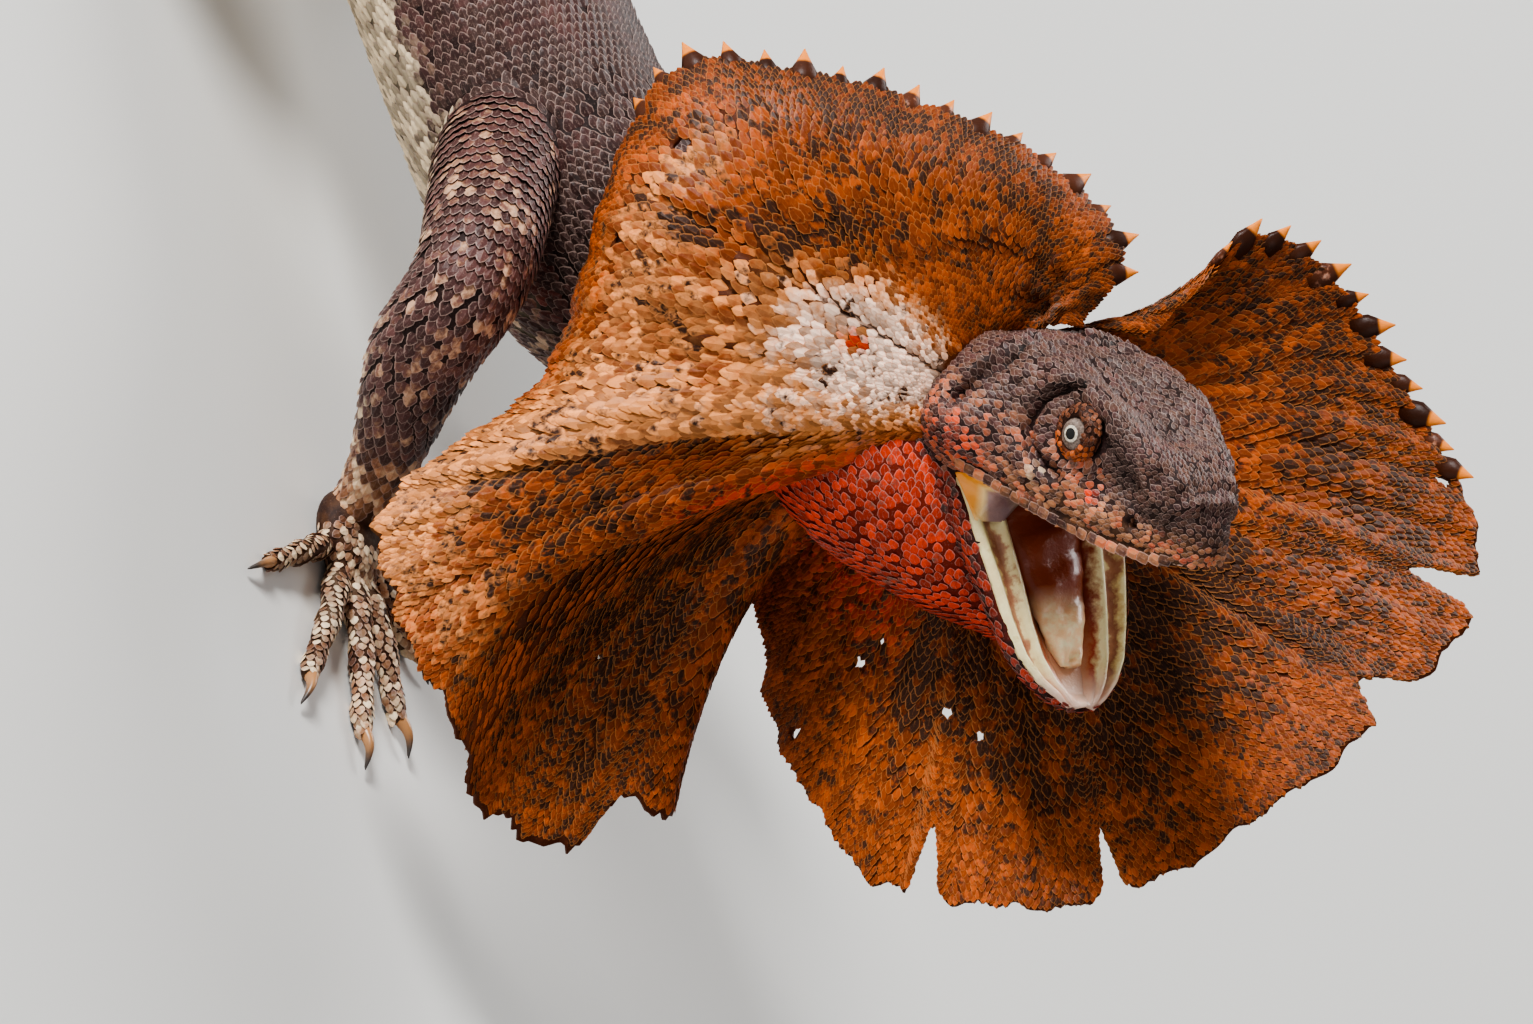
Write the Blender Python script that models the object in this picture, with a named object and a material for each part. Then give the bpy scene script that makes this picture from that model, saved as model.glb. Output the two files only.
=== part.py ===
"""A frilled lizard, life size, standing on its four feet with its frill spread and its mouth open.

Lengths are millimetres and MM turns them to metres. +Z is up, the lizard faces -Y, its left is +X.
Places are measured from the floor straight below the middle of the frill's root, and FOOTPRINT
moves them to the middle of the floor that the lizard covers. The body, limbs and toes are tubes
swept along curves, the skull and jaw are swept sections in the head's own axes, and the frill is
one folded sheet drawn along rays from the back of the head out to its rim.
"""
import math
import bpy
import bmesh
import numpy as np

MM = 0.001
GAP = 0.3                       # between pieces that meet
FOOTPRINT = (0.0, 257.8)        # middle of the floor covered, from below the frill's root
FRILL_HEIGHT = 110.0            # middle of the frill's root above the floor
HINGE = (5.3, -2.3, 0.0)        # jaw hinge from there: right, up and toward the viewer, as in RAYS

# How the head is held, in degrees.
HEAD_PITCH = 37.5               # snout raised
HEAD_YAW = 27.3                 # snout turned to the lizard's right
HEAD_ROLL = 36.0                # crown leaned to the lizard's right
GAPE = 42.5                     # between the upper lip and the lower jaw
JAW_SWING = 2.5                 # lower jaw swung to the lizard's right

# The frill is laid out square to this direction, from the lizard's right and above, in degrees.
FACE_AZIMUTH = 74.9
FACE_ELEVATION = 24.3
FACE_ROLL = 68.9

# Skull sections: forward of the hinge, lip half width, lip height, cheek half width, cheek height,
# brow half width, brow height, crown height, palate height.
SKULL = [
    (-13.0, 9.0, -6.0, 12.5, 3.0, 8.0, 10.8, 12.6, -7.5),
    (-6.5, 14.0, -7.0, 19.0, 3.5, 11.2, 14.4, 16.2, -8.0),
    (0.0, 17.0, -5.2, 21.6, 4.2, 12.0, 16.6, 18.0, -6.4),
    (7.0, 19.0, -2.2, 21.0, 5.2, 12.0, 17.8, 18.6, -3.6),
    (13.0, 17.6, -2.2, 18.6, 5.0, 11.4, 18.4, 18.4, -0.6),
    (19.5, 15.8, -2.7, 16.2, 4.8, 10.8, 18.6, 17.6, 0.4),
    (26.0, 14.0, -2.9, 14.2, 4.4, 9.8, 18.0, 17.0, 0.6),
    (31.5, 12.2, -3.0, 12.4, 4.0, 8.8, 16.6, 16.0, 0.6),
    (37.5, 10.0, -2.9, 10.2, 3.8, 7.9, 15.0, 15.0, 0.6),
    (43.0, 7.6, -2.2, 7.8, 3.8, 6.6, 12.6, 13.4, 0.8),
    (47.4, 5.0, -1.3, 5.3, 3.6, 3.8, 9.2, 10.4, 0.9),
    (49.8, 3.2, -0.7, 3.5, 3.2, 2.4, 6.4, 7.2, 0.8),
    (51.2, 1.6, 0.1, 1.8, 2.6, 1.5, 4.4, 4.8, 0.6),
]
# Lower jaw sections, along the jaw: lip half width, lip height, widest half width, its height,
# chin half width, chin height, height of the mouth's floor.
JAW = [
    (-5.0, 13.5, -3.0, 16.0, -7.0, 8.5, -13.5, -4.0),
    (1.0, 16.5, -1.0, 18.6, -6.0, 9.6, -13.2, -4.4),
    (7.5, 17.0, 0.0, 18.0, -5.0, 9.6, -12.2, -4.8),
    (15.0, 15.4, 0.0, 16.2, -4.4, 9.0, -10.8, -4.8),
    (24.0, 13.8, -0.6, 14.4, -4.6, 7.8, -9.8, -5.0),
    (32.0, 12.2, -1.2, 12.8, -4.6, 6.8, -8.8, -5.0),
    (38.0, 10.4, -1.6, 11.0, -4.6, 5.8, -7.8, -4.6),
    (42.0, 7.8, -1.6, 8.4, -4.4, 4.4, -7.0, -4.2),
    (45.0, 4.6, -1.4, 5.2, -4.0, 2.8, -6.0, -3.6),
    (46.8, 2.0, -1.2, 2.4, -3.2, 1.2, -4.4, -2.2),
]
TONGUE = [(8.0, 8.0, 2.5), (17.0, 7.4, 2.9), (27.0, 5.4, 2.7), (34.0, 3.7, 2.2), (39.0, 1.8, 1.3)]
TONGUE_LIFT = -2.9              # middle of the tongue below the jaw's lips
# The throat's pouch under the jaw, from the chin back, laid out as RAYS, with its radius.
POUCH = [(9.0, -35.0, 1.0, 4.5), (1.0, -26.5, -2.0, 9.5), (-8.0, -18.5, -2.0, 13.0), (-18.0, -9.0, -4.0, 15.5),
         (-27.0, 1.0, -9.0, 15.5)]

EYE = (25.6, 10.4, 12.0)        # forward, out, up
EYE_RADIUS = 4.0
LID_RADIUS = 3.9
LID_THICK = 1.0
NOSTRIL = (40.2, 9.2, 3.4)
NOSTRIL_RADIUS = 1.1
EAR = (2.6, 20.6, 9.5)
EAR_SIZE = (2.0, 2.6, 3.4)      # forward, out, up
BROW_RIDGE = ((13.0, 10.8, 18.0), (20.0, 10.2, 18.4), (27.0, 9.2, 17.6), (34.0, 7.8, 15.6), (41.0, 6.8, 13.1))

# The body along its curve: sideways, back, up, half width, half height.
SPINE = [
    (4.0, 5.0, 105.0, 14.5, 13.0),
    (2.5, 15.0, 96.0, 15.0, 15.5),
    (0.5, 27.0, 79.0, 16.0, 19.0),
    (-1.0, 41.0, 60.0, 20.0, 22.5),
    (-2.0, 62.0, 48.0, 24.0, 23.0),
    (-2.0, 90.0, 42.5, 26.0, 21.0),
    (-1.0, 122.0, 39.5, 27.5, 20.5),
    (0.0, 151.0, 37.0, 22.5, 19.0),
    (0.0, 174.0, 33.5, 17.0, 16.5),
    (0.0, 192.0, 28.0, 12.5, 13.5),
    (1.0, 214.0, 20.0, 9.8, 11.0),
    (4.0, 244.0, 11.0, 8.4, 9.2),
    (10.0, 280.0, 7.4, 7.3, 7.8),
    (20.0, 325.0, 6.2, 6.3, 6.6),
    (30.0, 375.0, 5.2, 5.3, 5.5),
    (35.0, 425.0, 4.2, 4.4, 4.5),
    (33.0, 475.0, 3.3, 3.5, 3.6),
    (24.0, 522.0, 2.5, 2.7, 2.8),
    (10.0, 562.0, 1.7, 2.0, 2.0),
    (-6.0, 592.0, 1.1, 1.3, 1.4),
]
# Where the body is parted, as rows of SPINE: names of the lengths and the row each ends at.
BODY = [("neck", 3.2), ("torso", 6.0), ("pelvis", 9.0), ("tail_1", 12.0), ("tail_2", 14.0),
        ("tail_3", 16.0), ("tail_4", 19.0)]

# Right limbs, from the trunk out: sideways, back, up, radius. The left ones mirror them.
ARM = [(-10.0, 76.0, 46.0, 11.0), (-27.0, 63.0, 47.5, 10.8), (-43.0, 43.0, 46.5, 9.6),
       (-40.0, 34.0, 32.0, 8.8), (-29.0, 24.5, 16.0, 6.0), (-25.0, 18.5, 6.6, 4.8)]
LEG = [(-8.0, 168.0, 36.0, 12.5), (-28.0, 158.0, 38.0, 12.6), (-52.0, 150.0, 39.0, 9.6),
       (-57.0, 166.0, 28.0, 8.8), (-52.0, 184.0, 15.0, 6.0), (-53.0, 187.0, 7.4, 5.0)]
LEFT_ARM_SHIFT = (18.0, 6.0)    # the left hand is wider out and further back
ARM_CUTS = (2.1, 4.75)          # rows where the arm is parted at its elbow and wrist
LEG_CUTS = (2.55, 4.75)         # rows where the leg is parted below its knee and at its ankle
# Toes, from the inner one: degrees outward from straight ahead, length without the claw, radius.
FINGERS = [(-38.0, 17.0, 2.3), (-8.0, 25.0, 2.4), (14.0, 29.0, 2.4), (40.0, 27.0, 2.3), (76.0, 20.0, 2.2)]
TOES = [(-30.0, 16.0, 2.4), (-12.0, 25.0, 2.5), (4.0, 34.0, 2.6), (18.0, 45.0, 2.6), (66.0, 25.0, 2.4)]
CLAW = (6.0, 1.25)              # length, radius at its root
SOLE_SINK = 0.9                 # how far soles and tail are pressed flat

# The frill's rays, from the right nape round under the throat to the left nape. Each is its root,
# its middle and its rim point: right, up and toward the viewer of the frill's own layout.
RAYS = [
    ((4.0, 14.0, 3.0), (9.0, 15.5, 3.0), (13.0, 15.0, 0.0)),
    ((2.0, 13.5, 3.5), (12.0, 22.0, 1.0), (20.0, 25.5, -4.0)),
    ((0.5, 13.0, 4.5), (8.0, 27.0, 3.0), (16.5, 34.0, -7.0)),
    ((-1.0, 12.5, 5.0), (0.0, 33.0, 6.0), (5.0, 43.5, -5.0)),
    ((-3.0, 11.5, 6.0), (-14.0, 36.0, 10.0), (-13.0, 51.5, -2.0)),
    ((-4.5, 10.0, 6.5), (-26.0, 38.0, 13.0), (-33.0, 56.5, 1.0)),
    ((-6.0, 8.0, 7.5), (-35.0, 36.0, 16.0), (-52.0, 57.0, 0.0)),
    ((-7.0, 6.0, 8.0), (-47.0, 31.0, 18.0), (-62.0, 40.0, -4.0)),
    ((-8.0, 4.0, 8.0), (-50.0, 19.0, 19.0), (-67.0, 23.0, -4.0)),
    ((-8.5, 2.0, 8.0), (-48.0, 9.0, 18.0), (-74.0, 6.0, 1.0)),
    ((-8.5, 0.0, 8.0), (-51.0, 2.0, 19.0), (-87.0, -4.0, 8.0)),
    ((-8.5, -2.0, 7.5), (-52.0, -4.0, 18.0), (-100.0, -14.5, 13.0)),
    ((-8.5, -4.0, 7.0), (-56.0, -10.0, 15.0), (-98.5, -30.0, 17.0)),
    ((-8.5, -5.5, 6.5), (-58.0, -17.0, 12.0), (-89.0, -48.0, 16.0)),
    ((-8.5, -6.5, 6.0), (-49.0, -17.0, -3.0), (-87.0, -64.0, 4.0)),
    ((-8.5, -7.5, 5.5), (-42.0, -18.0, -9.0), (-72.0, -71.0, -4.0)),
    ((-8.5, -8.5, 5.0), (-37.0, -20.0, -10.0), (-55.5, -65.0, -10.0)),
    ((-8.0, -9.5, 4.0), (-36.0, -19.0, -16.0), (-60.0, -50.0, -21.0)),
    ((-8.0, -10.5, 3.0), (-32.0, -18.0, -19.0), (-49.5, -42.0, -32.0)),
    ((-7.5, -11.5, 2.0), (-27.0, -18.0, -18.0), (-41.0, -28.0, -40.0)),
    ((-6.5, -12.5, 0.5), (-23.0, -27.0, -13.0), (-38.0, -46.0, -32.0)),
    ((-5.0, -13.5, -1.0), (-17.0, -34.0, -8.0), (-31.0, -62.0, -18.0)),
    ((-3.5, -14.0, -2.5), (-11.0, -40.0, -5.0), (-20.0, -76.0, -8.0)),
    ((-1.5, -14.0, -4.0), (-3.0, -44.0, -6.0), (-6.0, -79.0, -3.0)),
    ((0.5, -13.5, -5.0), (5.0, -45.0, -7.0), (8.0, -80.0, -1.0)),
    ((2.5, -12.0, -6.0), (14.0, -42.0, -10.0), (25.0, -76.0, -4.0)),
    ((4.5, -10.0, -8.0), (23.0, -36.0, -15.0), (46.0, -64.0, -10.0)),
    ((6.5, -7.5, -10.0), (33.0, -27.0, -21.0), (66.0, -47.5, -16.0)),
    ((8.5, -4.0, -11.5), (41.0, -16.0, -26.0), (80.0, -31.0, -20.0)),
    ((10.0, 0.0, -12.0), (45.0, -4.0, -28.0), (79.5, -14.0, -25.0)),
    ((11.0, 3.5, -12.0), (43.0, 6.0, -28.0), (71.0, 1.5, -29.0)),
    ((11.0, 6.5, -10.0), (39.0, 13.0, -26.0), (62.0, 17.0, -30.0)),
    ((10.5, 9.0, -8.0), (34.0, 18.0, -22.0), (52.5, 27.5, -27.0)),
    ((9.5, 11.0, -5.5), (29.0, 19.5, -16.0), (42.0, 30.5, -22.0)),
    ((8.5, 12.5, -3.5), (24.0, 17.5, -10.0), (33.0, 22.0, -15.0)),
    ((7.0, 13.5, -1.5), (16.0, 15.0, -4.0), (24.0, 13.5, -8.0)),
]
# The frill is parted at these rays, with so many columns to each ray.
FRILL = [("frill_right_top", 0.0, 9.0, 2), ("frill_right_lobe", 9.0, 13.4, 2), ("frill_right_fold", 13.4, 19.0, 3),
         ("frill_throat", 19.0, 25.5, 2), ("frill_left", 25.5, 35.0, 2)]
FRILL_ROWS = 8
FRILL_THICK = (1.5, 0.8)        # at the root and at the rim
NEARBY = 0.12                   # step in rays, or in shares of a ray, over which the sheet's facing is read
RODS = [(7.0, 0.85), (11.0, 0.98), (13.0, 0.95), (21.6, 0.7), (23.9, 0.96), (25.1, 0.92), (27.0, 0.9),
        (30.0, 0.6)]            # ray of each hyoid rod, and how far out it runs
ROD_WIDTH = 0.34                # in rays
ROD_RISE = 0.8
NOTCHES = [(19.6, 0.4, 0.05), (22.75, 0.2, 0.14), (24.6, 0.14, 0.17), (27.4, 0.2, 0.08), (28.55, 0.2, 0.13),
           (15.5, 0.3, 0.04)]   # ray, half width in rays, share of the ray that is missing
SPIKED = ((0.6, 6.6), (29.2, 33.7))
SPIKE = (3.2, 1.25)             # height, half width
SPIKE_PITCH = 5.4

COLOURS = {
    "skin": (0.20, 0.13, 0.11), "frill": (0.55, 0.22, 0.07), "eye": (0.45, 0.42, 0.36),
    "tongue": (0.78, 0.50, 0.38),
}


def clear_scene():
    for thing in list(bpy.data.objects):
        bpy.data.objects.remove(thing, do_unlink=True)


def turned(azimuth, elevation, roll):
    """Axes of a viewer on the lizard's right front: right, up and toward the viewer, as rows."""
    a, e, r = (math.radians(angle) for angle in (azimuth, elevation, roll))
    toward = np.array([-math.sin(a) * math.cos(e), -math.cos(a) * math.cos(e), math.sin(e)])
    right = np.cross((0.0, 0.0, 1.0), toward)
    right /= np.linalg.norm(right)
    up = np.cross(toward, right)
    return np.array([right * math.cos(r) + up * math.sin(r), up * math.cos(r) - right * math.sin(r), toward])


def head_axes(pitch):
    """Forward, left and up of the head with its snout raised by pitch, as rows."""
    p, y, r = math.radians(pitch), math.radians(HEAD_YAW), math.radians(HEAD_ROLL)
    forward = np.array([-math.sin(y) * math.cos(p), -math.cos(y) * math.cos(p), math.sin(p)])
    left = np.array([math.cos(y), -math.sin(y), 0.0])
    up = np.cross(forward, left)
    return np.array([forward, left * math.cos(r) + up * math.sin(r), up * math.cos(r) - left * math.sin(r)])


def jaw_axes():
    """The head's axes turned down about its left axis by the gape, then swung to its right."""
    forward, left, up = head_axes(HEAD_PITCH)
    g, s = math.radians(GAPE), math.radians(JAW_SWING)
    along, up = forward * math.cos(g) - up * math.sin(g), up * math.cos(g) + forward * math.sin(g)
    return np.array([along * math.cos(s) - left * math.sin(s), left * math.cos(s) + along * math.sin(s), up])


FACE = turned(FACE_AZIMUTH, FACE_ELEVATION, FACE_ROLL)
SKULL_AXES = head_axes(HEAD_PITCH)
JAW_AXES = jaw_axes()
FRILL_ROOT = np.array([0.0, 0.0, FRILL_HEIGHT])
HINGE_PLACE = np.array(HINGE) @ FACE + FRILL_ROOT


def in_head(points, axes):
    """Places given forward, left and up of the jaw hinge, in the skull's axes or the jaw's."""
    return np.asarray(points, float) @ axes + HINGE_PLACE


def in_frill(points):
    """Places given right, up and toward the viewer of the frill's layout."""
    return np.asarray(points, float) @ FACE + FRILL_ROOT


def smooth(rows, steps):
    """Rows read along a curve that passes through each of them."""
    rows = np.array(rows, float)
    padded = np.concatenate([[2 * rows[0] - rows[1]], rows, [2 * rows[-1] - rows[-2]]])
    out = []
    for i in range(len(rows) - 1):
        a, b, c, d = padded[i:i + 4]
        for t in np.arange(steps) / steps:
            out.append(0.5 * (2 * b + (c - a) * t + (2 * a - 5 * b + 4 * c - d) * t ** 2
                              + (3 * b - a - 3 * c + d) * t ** 3))
    out.append(rows[-1])
    return np.array(out)


def at_row(rows, steps, row):
    """The smoothed rows read at a fractional row number."""
    table = smooth(rows, steps)
    place = np.arange(len(table)) / steps
    return np.array([np.interp(row, place, table[:, k]) for k in range(table.shape[1])])


def material(name, roughness=0.6):
    found = bpy.data.materials.get(name)
    if found:
        return found
    made = bpy.data.materials.new(name)
    made.use_nodes = True
    shader = made.node_tree.nodes["Principled BSDF"]
    shader.inputs["Base Color"].default_value = (*COLOURS[name], 1.0)
    shader.inputs["Roughness"].default_value = roughness
    return made


def solid(name, points, faces, finish="skin"):
    """One mesh object from points in millimetres."""
    mesh = bpy.data.meshes.new(name)
    shifted = np.asarray(points, float) - (*FOOTPRINT, 0.0)
    mesh.from_pydata((shifted * MM).tolist(), [], faces)
    made = bmesh.new()
    made.from_mesh(mesh)
    bmesh.ops.recalc_face_normals(made, faces=made.faces[:])
    made.to_mesh(mesh)
    made.free()
    mesh.materials.append(material(finish))
    thing = bpy.data.objects.new(name, mesh)
    bpy.context.collection.objects.link(thing)
    return thing


def skinned(rings):
    """Points and triangles of a closed skin over rings with as many points each."""
    rings = np.asarray(rings, float)
    count, around, _ = rings.shape
    points = np.concatenate([rings.reshape(-1, 3), [rings[0].mean(axis=0), rings[-1].mean(axis=0)]])
    faces = []
    for i in range(count - 1):
        for j in range(around):
            k = (j + 1) % around
            a, b, c, d = i * around + j, i * around + k, (i + 1) * around + k, (i + 1) * around + j
            faces += [(a, b, c), (a, c, d)]
    first, last = count * around, count * around + 1
    for j in range(around):
        k = (j + 1) % around
        faces.append((first, k, j))
        faces.append((last, (count - 1) * around + j, (count - 1) * around + k))
    return points, faces


def tube_rings(rows, around, flat=1.0):
    """Rings square to a path of centre, half width and half height, or one radius for both."""
    rows = np.asarray(rows, float)
    centres = rows[:, :3]
    along = np.gradient(centres, axis=0)
    turns = np.arange(around) * 2 * math.pi / around
    rings = []
    for row, heading in zip(rows, along):
        heading = heading / np.linalg.norm(heading)
        side = np.cross(heading, (0.0, 0.0, 1.0))
        side /= max(np.linalg.norm(side), 1e-6)
        up = np.cross(side, heading)
        half_width, half_height = row[3], row[-1] * flat
        rings.append([row[:3] + side * half_width * math.cos(t) + up * half_height * math.sin(t) for t in turns])
    return np.array(rings)


def tube(name, rows, around, finish="skin", flat=1.0):
    return solid(name, *skinned(tube_rings(rows, around, flat)), finish)


def ball(name, centre, radii, axes, rows=8, around=14, finish="skin"):
    """An ellipsoid whose radii lie along the given axes."""
    centre, rings = np.asarray(centre, float), []
    for i in range(1, rows):
        polar = math.pi * i / rows
        ring = [(-math.cos(polar), math.sin(polar) * math.cos(t), math.sin(polar) * math.sin(t))
                for t in np.arange(around) * 2 * math.pi / around]
        rings.append(np.array(ring) * radii @ axes + centre)
    points, faces = skinned(rings)
    points[-2] = centre - axes[0] * radii[0]
    points[-1] = centre + axes[0] * radii[0]
    return solid(name, points, faces, finish)


def keep_largest(thing):
    """Leaves only the largest closed surface of a mesh."""
    mesh = bmesh.new()
    mesh.from_mesh(thing.data)
    bmesh.ops.remove_doubles(mesh, verts=mesh.verts[:], dist=1e-7)
    bmesh.ops.triangulate(mesh, faces=mesh.faces[:])
    left, islands = set(mesh.faces), []
    while left:
        island, edge = set(), [left.pop()]
        while edge:
            face = edge.pop()
            island.add(face)
            for near in (other for side in face.edges for other in side.link_faces):
                if near in left:
                    left.remove(near)
                    edge.append(near)
        islands.append(island)
    islands.sort(key=lambda island: -sum(face.calc_area() for face in island))
    loose = [face for island in islands[1:] for face in island]
    bmesh.ops.delete(mesh, geom=loose, context="FACES")
    mesh.to_mesh(thing.data)
    mesh.free()


def cut_or_joined(thing, tools, operation):
    """A Boolean of the thing with a collection of closed meshes, applied, and the meshes removed."""
    group = bpy.data.collections.new("tools")
    bpy.context.scene.collection.children.link(group)
    for tool in tools:
        for home in list(tool.users_collection):
            home.objects.unlink(tool)
        group.objects.link(tool)
    change = thing.modifiers.new("change", "BOOLEAN")
    change.operation = operation
    change.operand_type = "COLLECTION"
    change.collection = group
    change.solver = "EXACT"
    bpy.context.view_layer.update()
    evaluated = thing.evaluated_get(bpy.context.evaluated_depsgraph_get())
    result = bpy.data.meshes.new_from_object(evaluated)
    thing.modifiers.clear()
    thing.data = result
    for tool in tools:
        bpy.data.objects.remove(tool, do_unlink=True)
    bpy.data.collections.remove(group)
    keep_largest(thing)
    return thing


def joined(thing, pieces):
    return cut_or_joined(thing, pieces, "UNION")


def cut(thing, pieces):
    return cut_or_joined(thing, pieces, "DIFFERENCE")


def grown(rings, by):
    """Rings moved out from their own middles, with the end rings moved along as well."""
    middles = rings.mean(axis=1, keepdims=True)
    out = rings - middles
    reach = np.linalg.norm(out, axis=2, keepdims=True)
    wider = middles + out * (reach + by) / reach
    for end, near in ((0, 1), (-1, -2)):
        step = middles[end] - middles[near]
        wider[end] += step / np.linalg.norm(step) * by
    return wider


def half_section(corners, around):
    """A closed ring from one side's corners, bottom middle to top middle, mirrored."""
    side = smooth(corners, around)
    other = side[1:-1][::-1] * (-1.0, 1.0)
    return np.concatenate([side, other])


def skull_rings(steps=2):
    rings = []
    for row in smooth(SKULL, steps):
        forward, lip, lip_up, cheek, cheek_up, brow, brow_up, crown, palate = row
        ring = half_section([(0.0, palate), (lip * 0.72, palate - 0.4), (lip, lip_up), (cheek, cheek_up),
                             (brow, brow_up), (brow * 0.5, 0.4 * brow_up + 0.6 * crown), (0.0, crown)], 2)
        rings.append([(forward, side, up) for side, up in ring])
    return in_head(np.array(rings), SKULL_AXES)


def jaw_rings(steps=2):
    rings = []
    for row in smooth(JAW, steps):
        forward, lip, lip_up, wide, wide_up, chin, chin_up, floor = row
        ring = half_section([(0.0, chin_up), (chin, chin_up + 0.8), (wide, wide_up), (lip, lip_up),
                             (lip * 0.74, floor + 0.6), (0.0, floor)], 2)
        rings.append([(forward, side, up) for side, up in ring])
    return in_head(np.array(rings), JAW_AXES)


def spine_rings(first, last, around=20, steps=2):
    """Rings of the body between two fractional rows, with both ends square to its curve."""
    inner = [k / steps for k in range(int(first * steps) + 1, int(math.ceil(last * steps)))]
    inner = [row for row in inner if row - first > 0.12 and last - row > 0.12]
    rows = [at_row(SPINE, 12, row) for row in [first, *inner, last]]
    ahead = [at_row(SPINE, 12, min(row + 0.02, len(SPINE) - 1)) for row in [first, *inner, last]]
    behind = [at_row(SPINE, 12, max(row - 0.02, 0.0)) for row in [first, *inner, last]]
    turns, rings = np.arange(around) * 2 * math.pi / around, []
    for row, far, near in zip(rows, ahead, behind):
        heading = (far - near)[:3]
        heading /= np.linalg.norm(heading)
        side = np.cross(heading, (0.0, 0.0, 1.0))
        side /= np.linalg.norm(side)
        up = np.cross(side, heading)
        rings.append([row[:3] + side * row[3] * math.cos(t) + up * row[4] * math.sin(t) for t in turns])
    return np.array(rings)


def row_step(row):
    """Rows of SPINE that half of the gap takes up at a row."""
    near, far = at_row(SPINE, 12, max(row - 0.05, 0.0)), at_row(SPINE, 12, min(row + 0.05, len(SPINE) - 1))
    return 0.5 * GAP * 0.1 / np.linalg.norm((far - near)[:3])


def floor_block():
    """What is under the floor, for cutting soles and the tail flat."""
    size = 400.0
    middle = np.array([*FOOTPRINT, -size])
    corners = [(x, y, z) for x in (-size, size) for y in (-size, size) for z in (-size, size)]
    faces = [(0, 1, 3, 2), (4, 6, 7, 5), (0, 4, 5, 1), (2, 3, 7, 6), (0, 2, 6, 4), (1, 5, 7, 3)]
    return solid("floor_block", np.array(corners) + middle, faces)


def make_head():
    head = solid("head", *skinned(skull_rings()))
    lids, holes = [], []
    for side in (-1.0, 1.0):
        eye = in_head((EYE[0], side * EYE[1], EYE[2]), SKULL_AXES)
        out = SKULL_AXES[1] * side + SKULL_AXES[0] * 0.25
        lids.append(lid(side, eye, out / np.linalg.norm(out)))
        ridge = [(*in_head((f, side * s, u), SKULL_AXES), 1.5) for f, s, u in BROW_RIDGE]
        lids.append(tube("ridge", smooth(ridge, 2), 6))
        holes.append(ball("hole", eye, [EYE_RADIUS + GAP] * 3, SKULL_AXES, 8, 14))
        nostril = in_head((NOSTRIL[0], side * NOSTRIL[1], NOSTRIL[2]), SKULL_AXES)
        holes.append(ball("hole", nostril, [NOSTRIL_RADIUS] * 3, SKULL_AXES, 6, 10))
        ear = in_head((EAR[0], side * EAR[1], EAR[2]), SKULL_AXES)
        holes.append(ball("hole", ear, EAR_SIZE, SKULL_AXES, 6, 12))
    joined(head, lids)
    return cut(head, holes)


def lid(side, eye, out):
    """The rim round an eye: a ring of swollen lids over the eyeball."""
    along = SKULL_AXES[0] - out * float(SKULL_AXES[0] @ out)
    along /= np.linalg.norm(along)
    up = np.cross(out, along) * side
    rings, around, thick = [], 16, 6
    for t in np.arange(around) * 2 * math.pi / around:
        spoke = along * math.cos(t) + up * math.sin(t) * 0.9
        middle = eye + spoke * LID_RADIUS + out * 1.0
        rings.append([middle + spoke * LID_THICK * 1.4 * math.cos(a) + out * LID_THICK * 1.5 * math.sin(a)
                      for a in np.arange(thick) * 2 * math.pi / thick])
    rings = np.array(rings)
    faces = []
    for i in range(around):
        for j in range(thick):
            m, n = (i + 1) % around, (j + 1) % thick
            faces += [(i * thick + j, m * thick + j, m * thick + n), (i * thick + j, m * thick + n, i * thick + n)]
    return solid("lid", rings.reshape(-1, 3), faces)


def make_eyes():
    for name, side in (("eye_right", -1.0), ("eye_left", 1.0)):
        centre = in_head((EYE[0], side * EYE[1], EYE[2]), SKULL_AXES)
        ball(name, centre, [EYE_RADIUS] * 3, SKULL_AXES, 8, 14, "eye")


def make_jaw():
    jaw = solid("lower_jaw", *skinned(jaw_rings()))
    tongue = [(*in_head((x, 0.0, TONGUE_LIFT), JAW_AXES), w, h) for x, w, h in TONGUE]
    hollow = smooth(tongue, 3) + (0.0, 0.0, 0.0, GAP, GAP)
    cut(jaw, [solid("skull", *skinned(grown(skull_rings(), GAP))), level_tube("hollow", hollow)])
    return level_tube("tongue", smooth(tongue, 3), "tongue")


def pouch_rings():
    rows = [(*in_frill((x, y, z)), radius) for x, y, z, radius in POUCH]
    return tube_rings(smooth(rows, 3), 18)


def make_throat():
    throat = solid("throat", *skinned(pouch_rings()))
    cut(throat, [solid("skull", *skinned(grown(skull_rings(), GAP))),
                 solid("jaw", *skinned(grown(jaw_rings(), GAP))),
                 solid("neck", *skinned(grown(spine_rings(0.0, 4.0), GAP)))])


def level_tube(name, rows, finish="skin", around=12):
    """A flat tube along the jaw, its width across the jaw."""
    turns, rings = np.arange(around) * 2 * math.pi / around, []
    for row in rows:
        rings.append([row[:3] + JAW_AXES[1] * row[3] * math.cos(t) + JAW_AXES[2] * row[4] * math.sin(t)
                      for t in turns])
    return solid(name, *skinned(rings), finish)


def make_body():
    start = 0.0
    for name, end in BODY:
        first = start + (row_step(start) if start else 0.0)
        last = end - (row_step(end) if name != "tail_4" else 0.0)
        piece = solid(name, *skinned(spine_rings(first, last)))
        if name == "neck":
            cut(piece, [solid("skull", *skinned(grown(skull_rings(), GAP))),
                        solid("jaw", *skinned(grown(jaw_rings(), GAP)))])
        if name.startswith("tail"):
            cut(piece, [floor_block()])
        start = end


def trunk_block():
    return solid("trunk", *skinned(grown(spine_rings(2.4, 10.0), GAP)))


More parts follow.
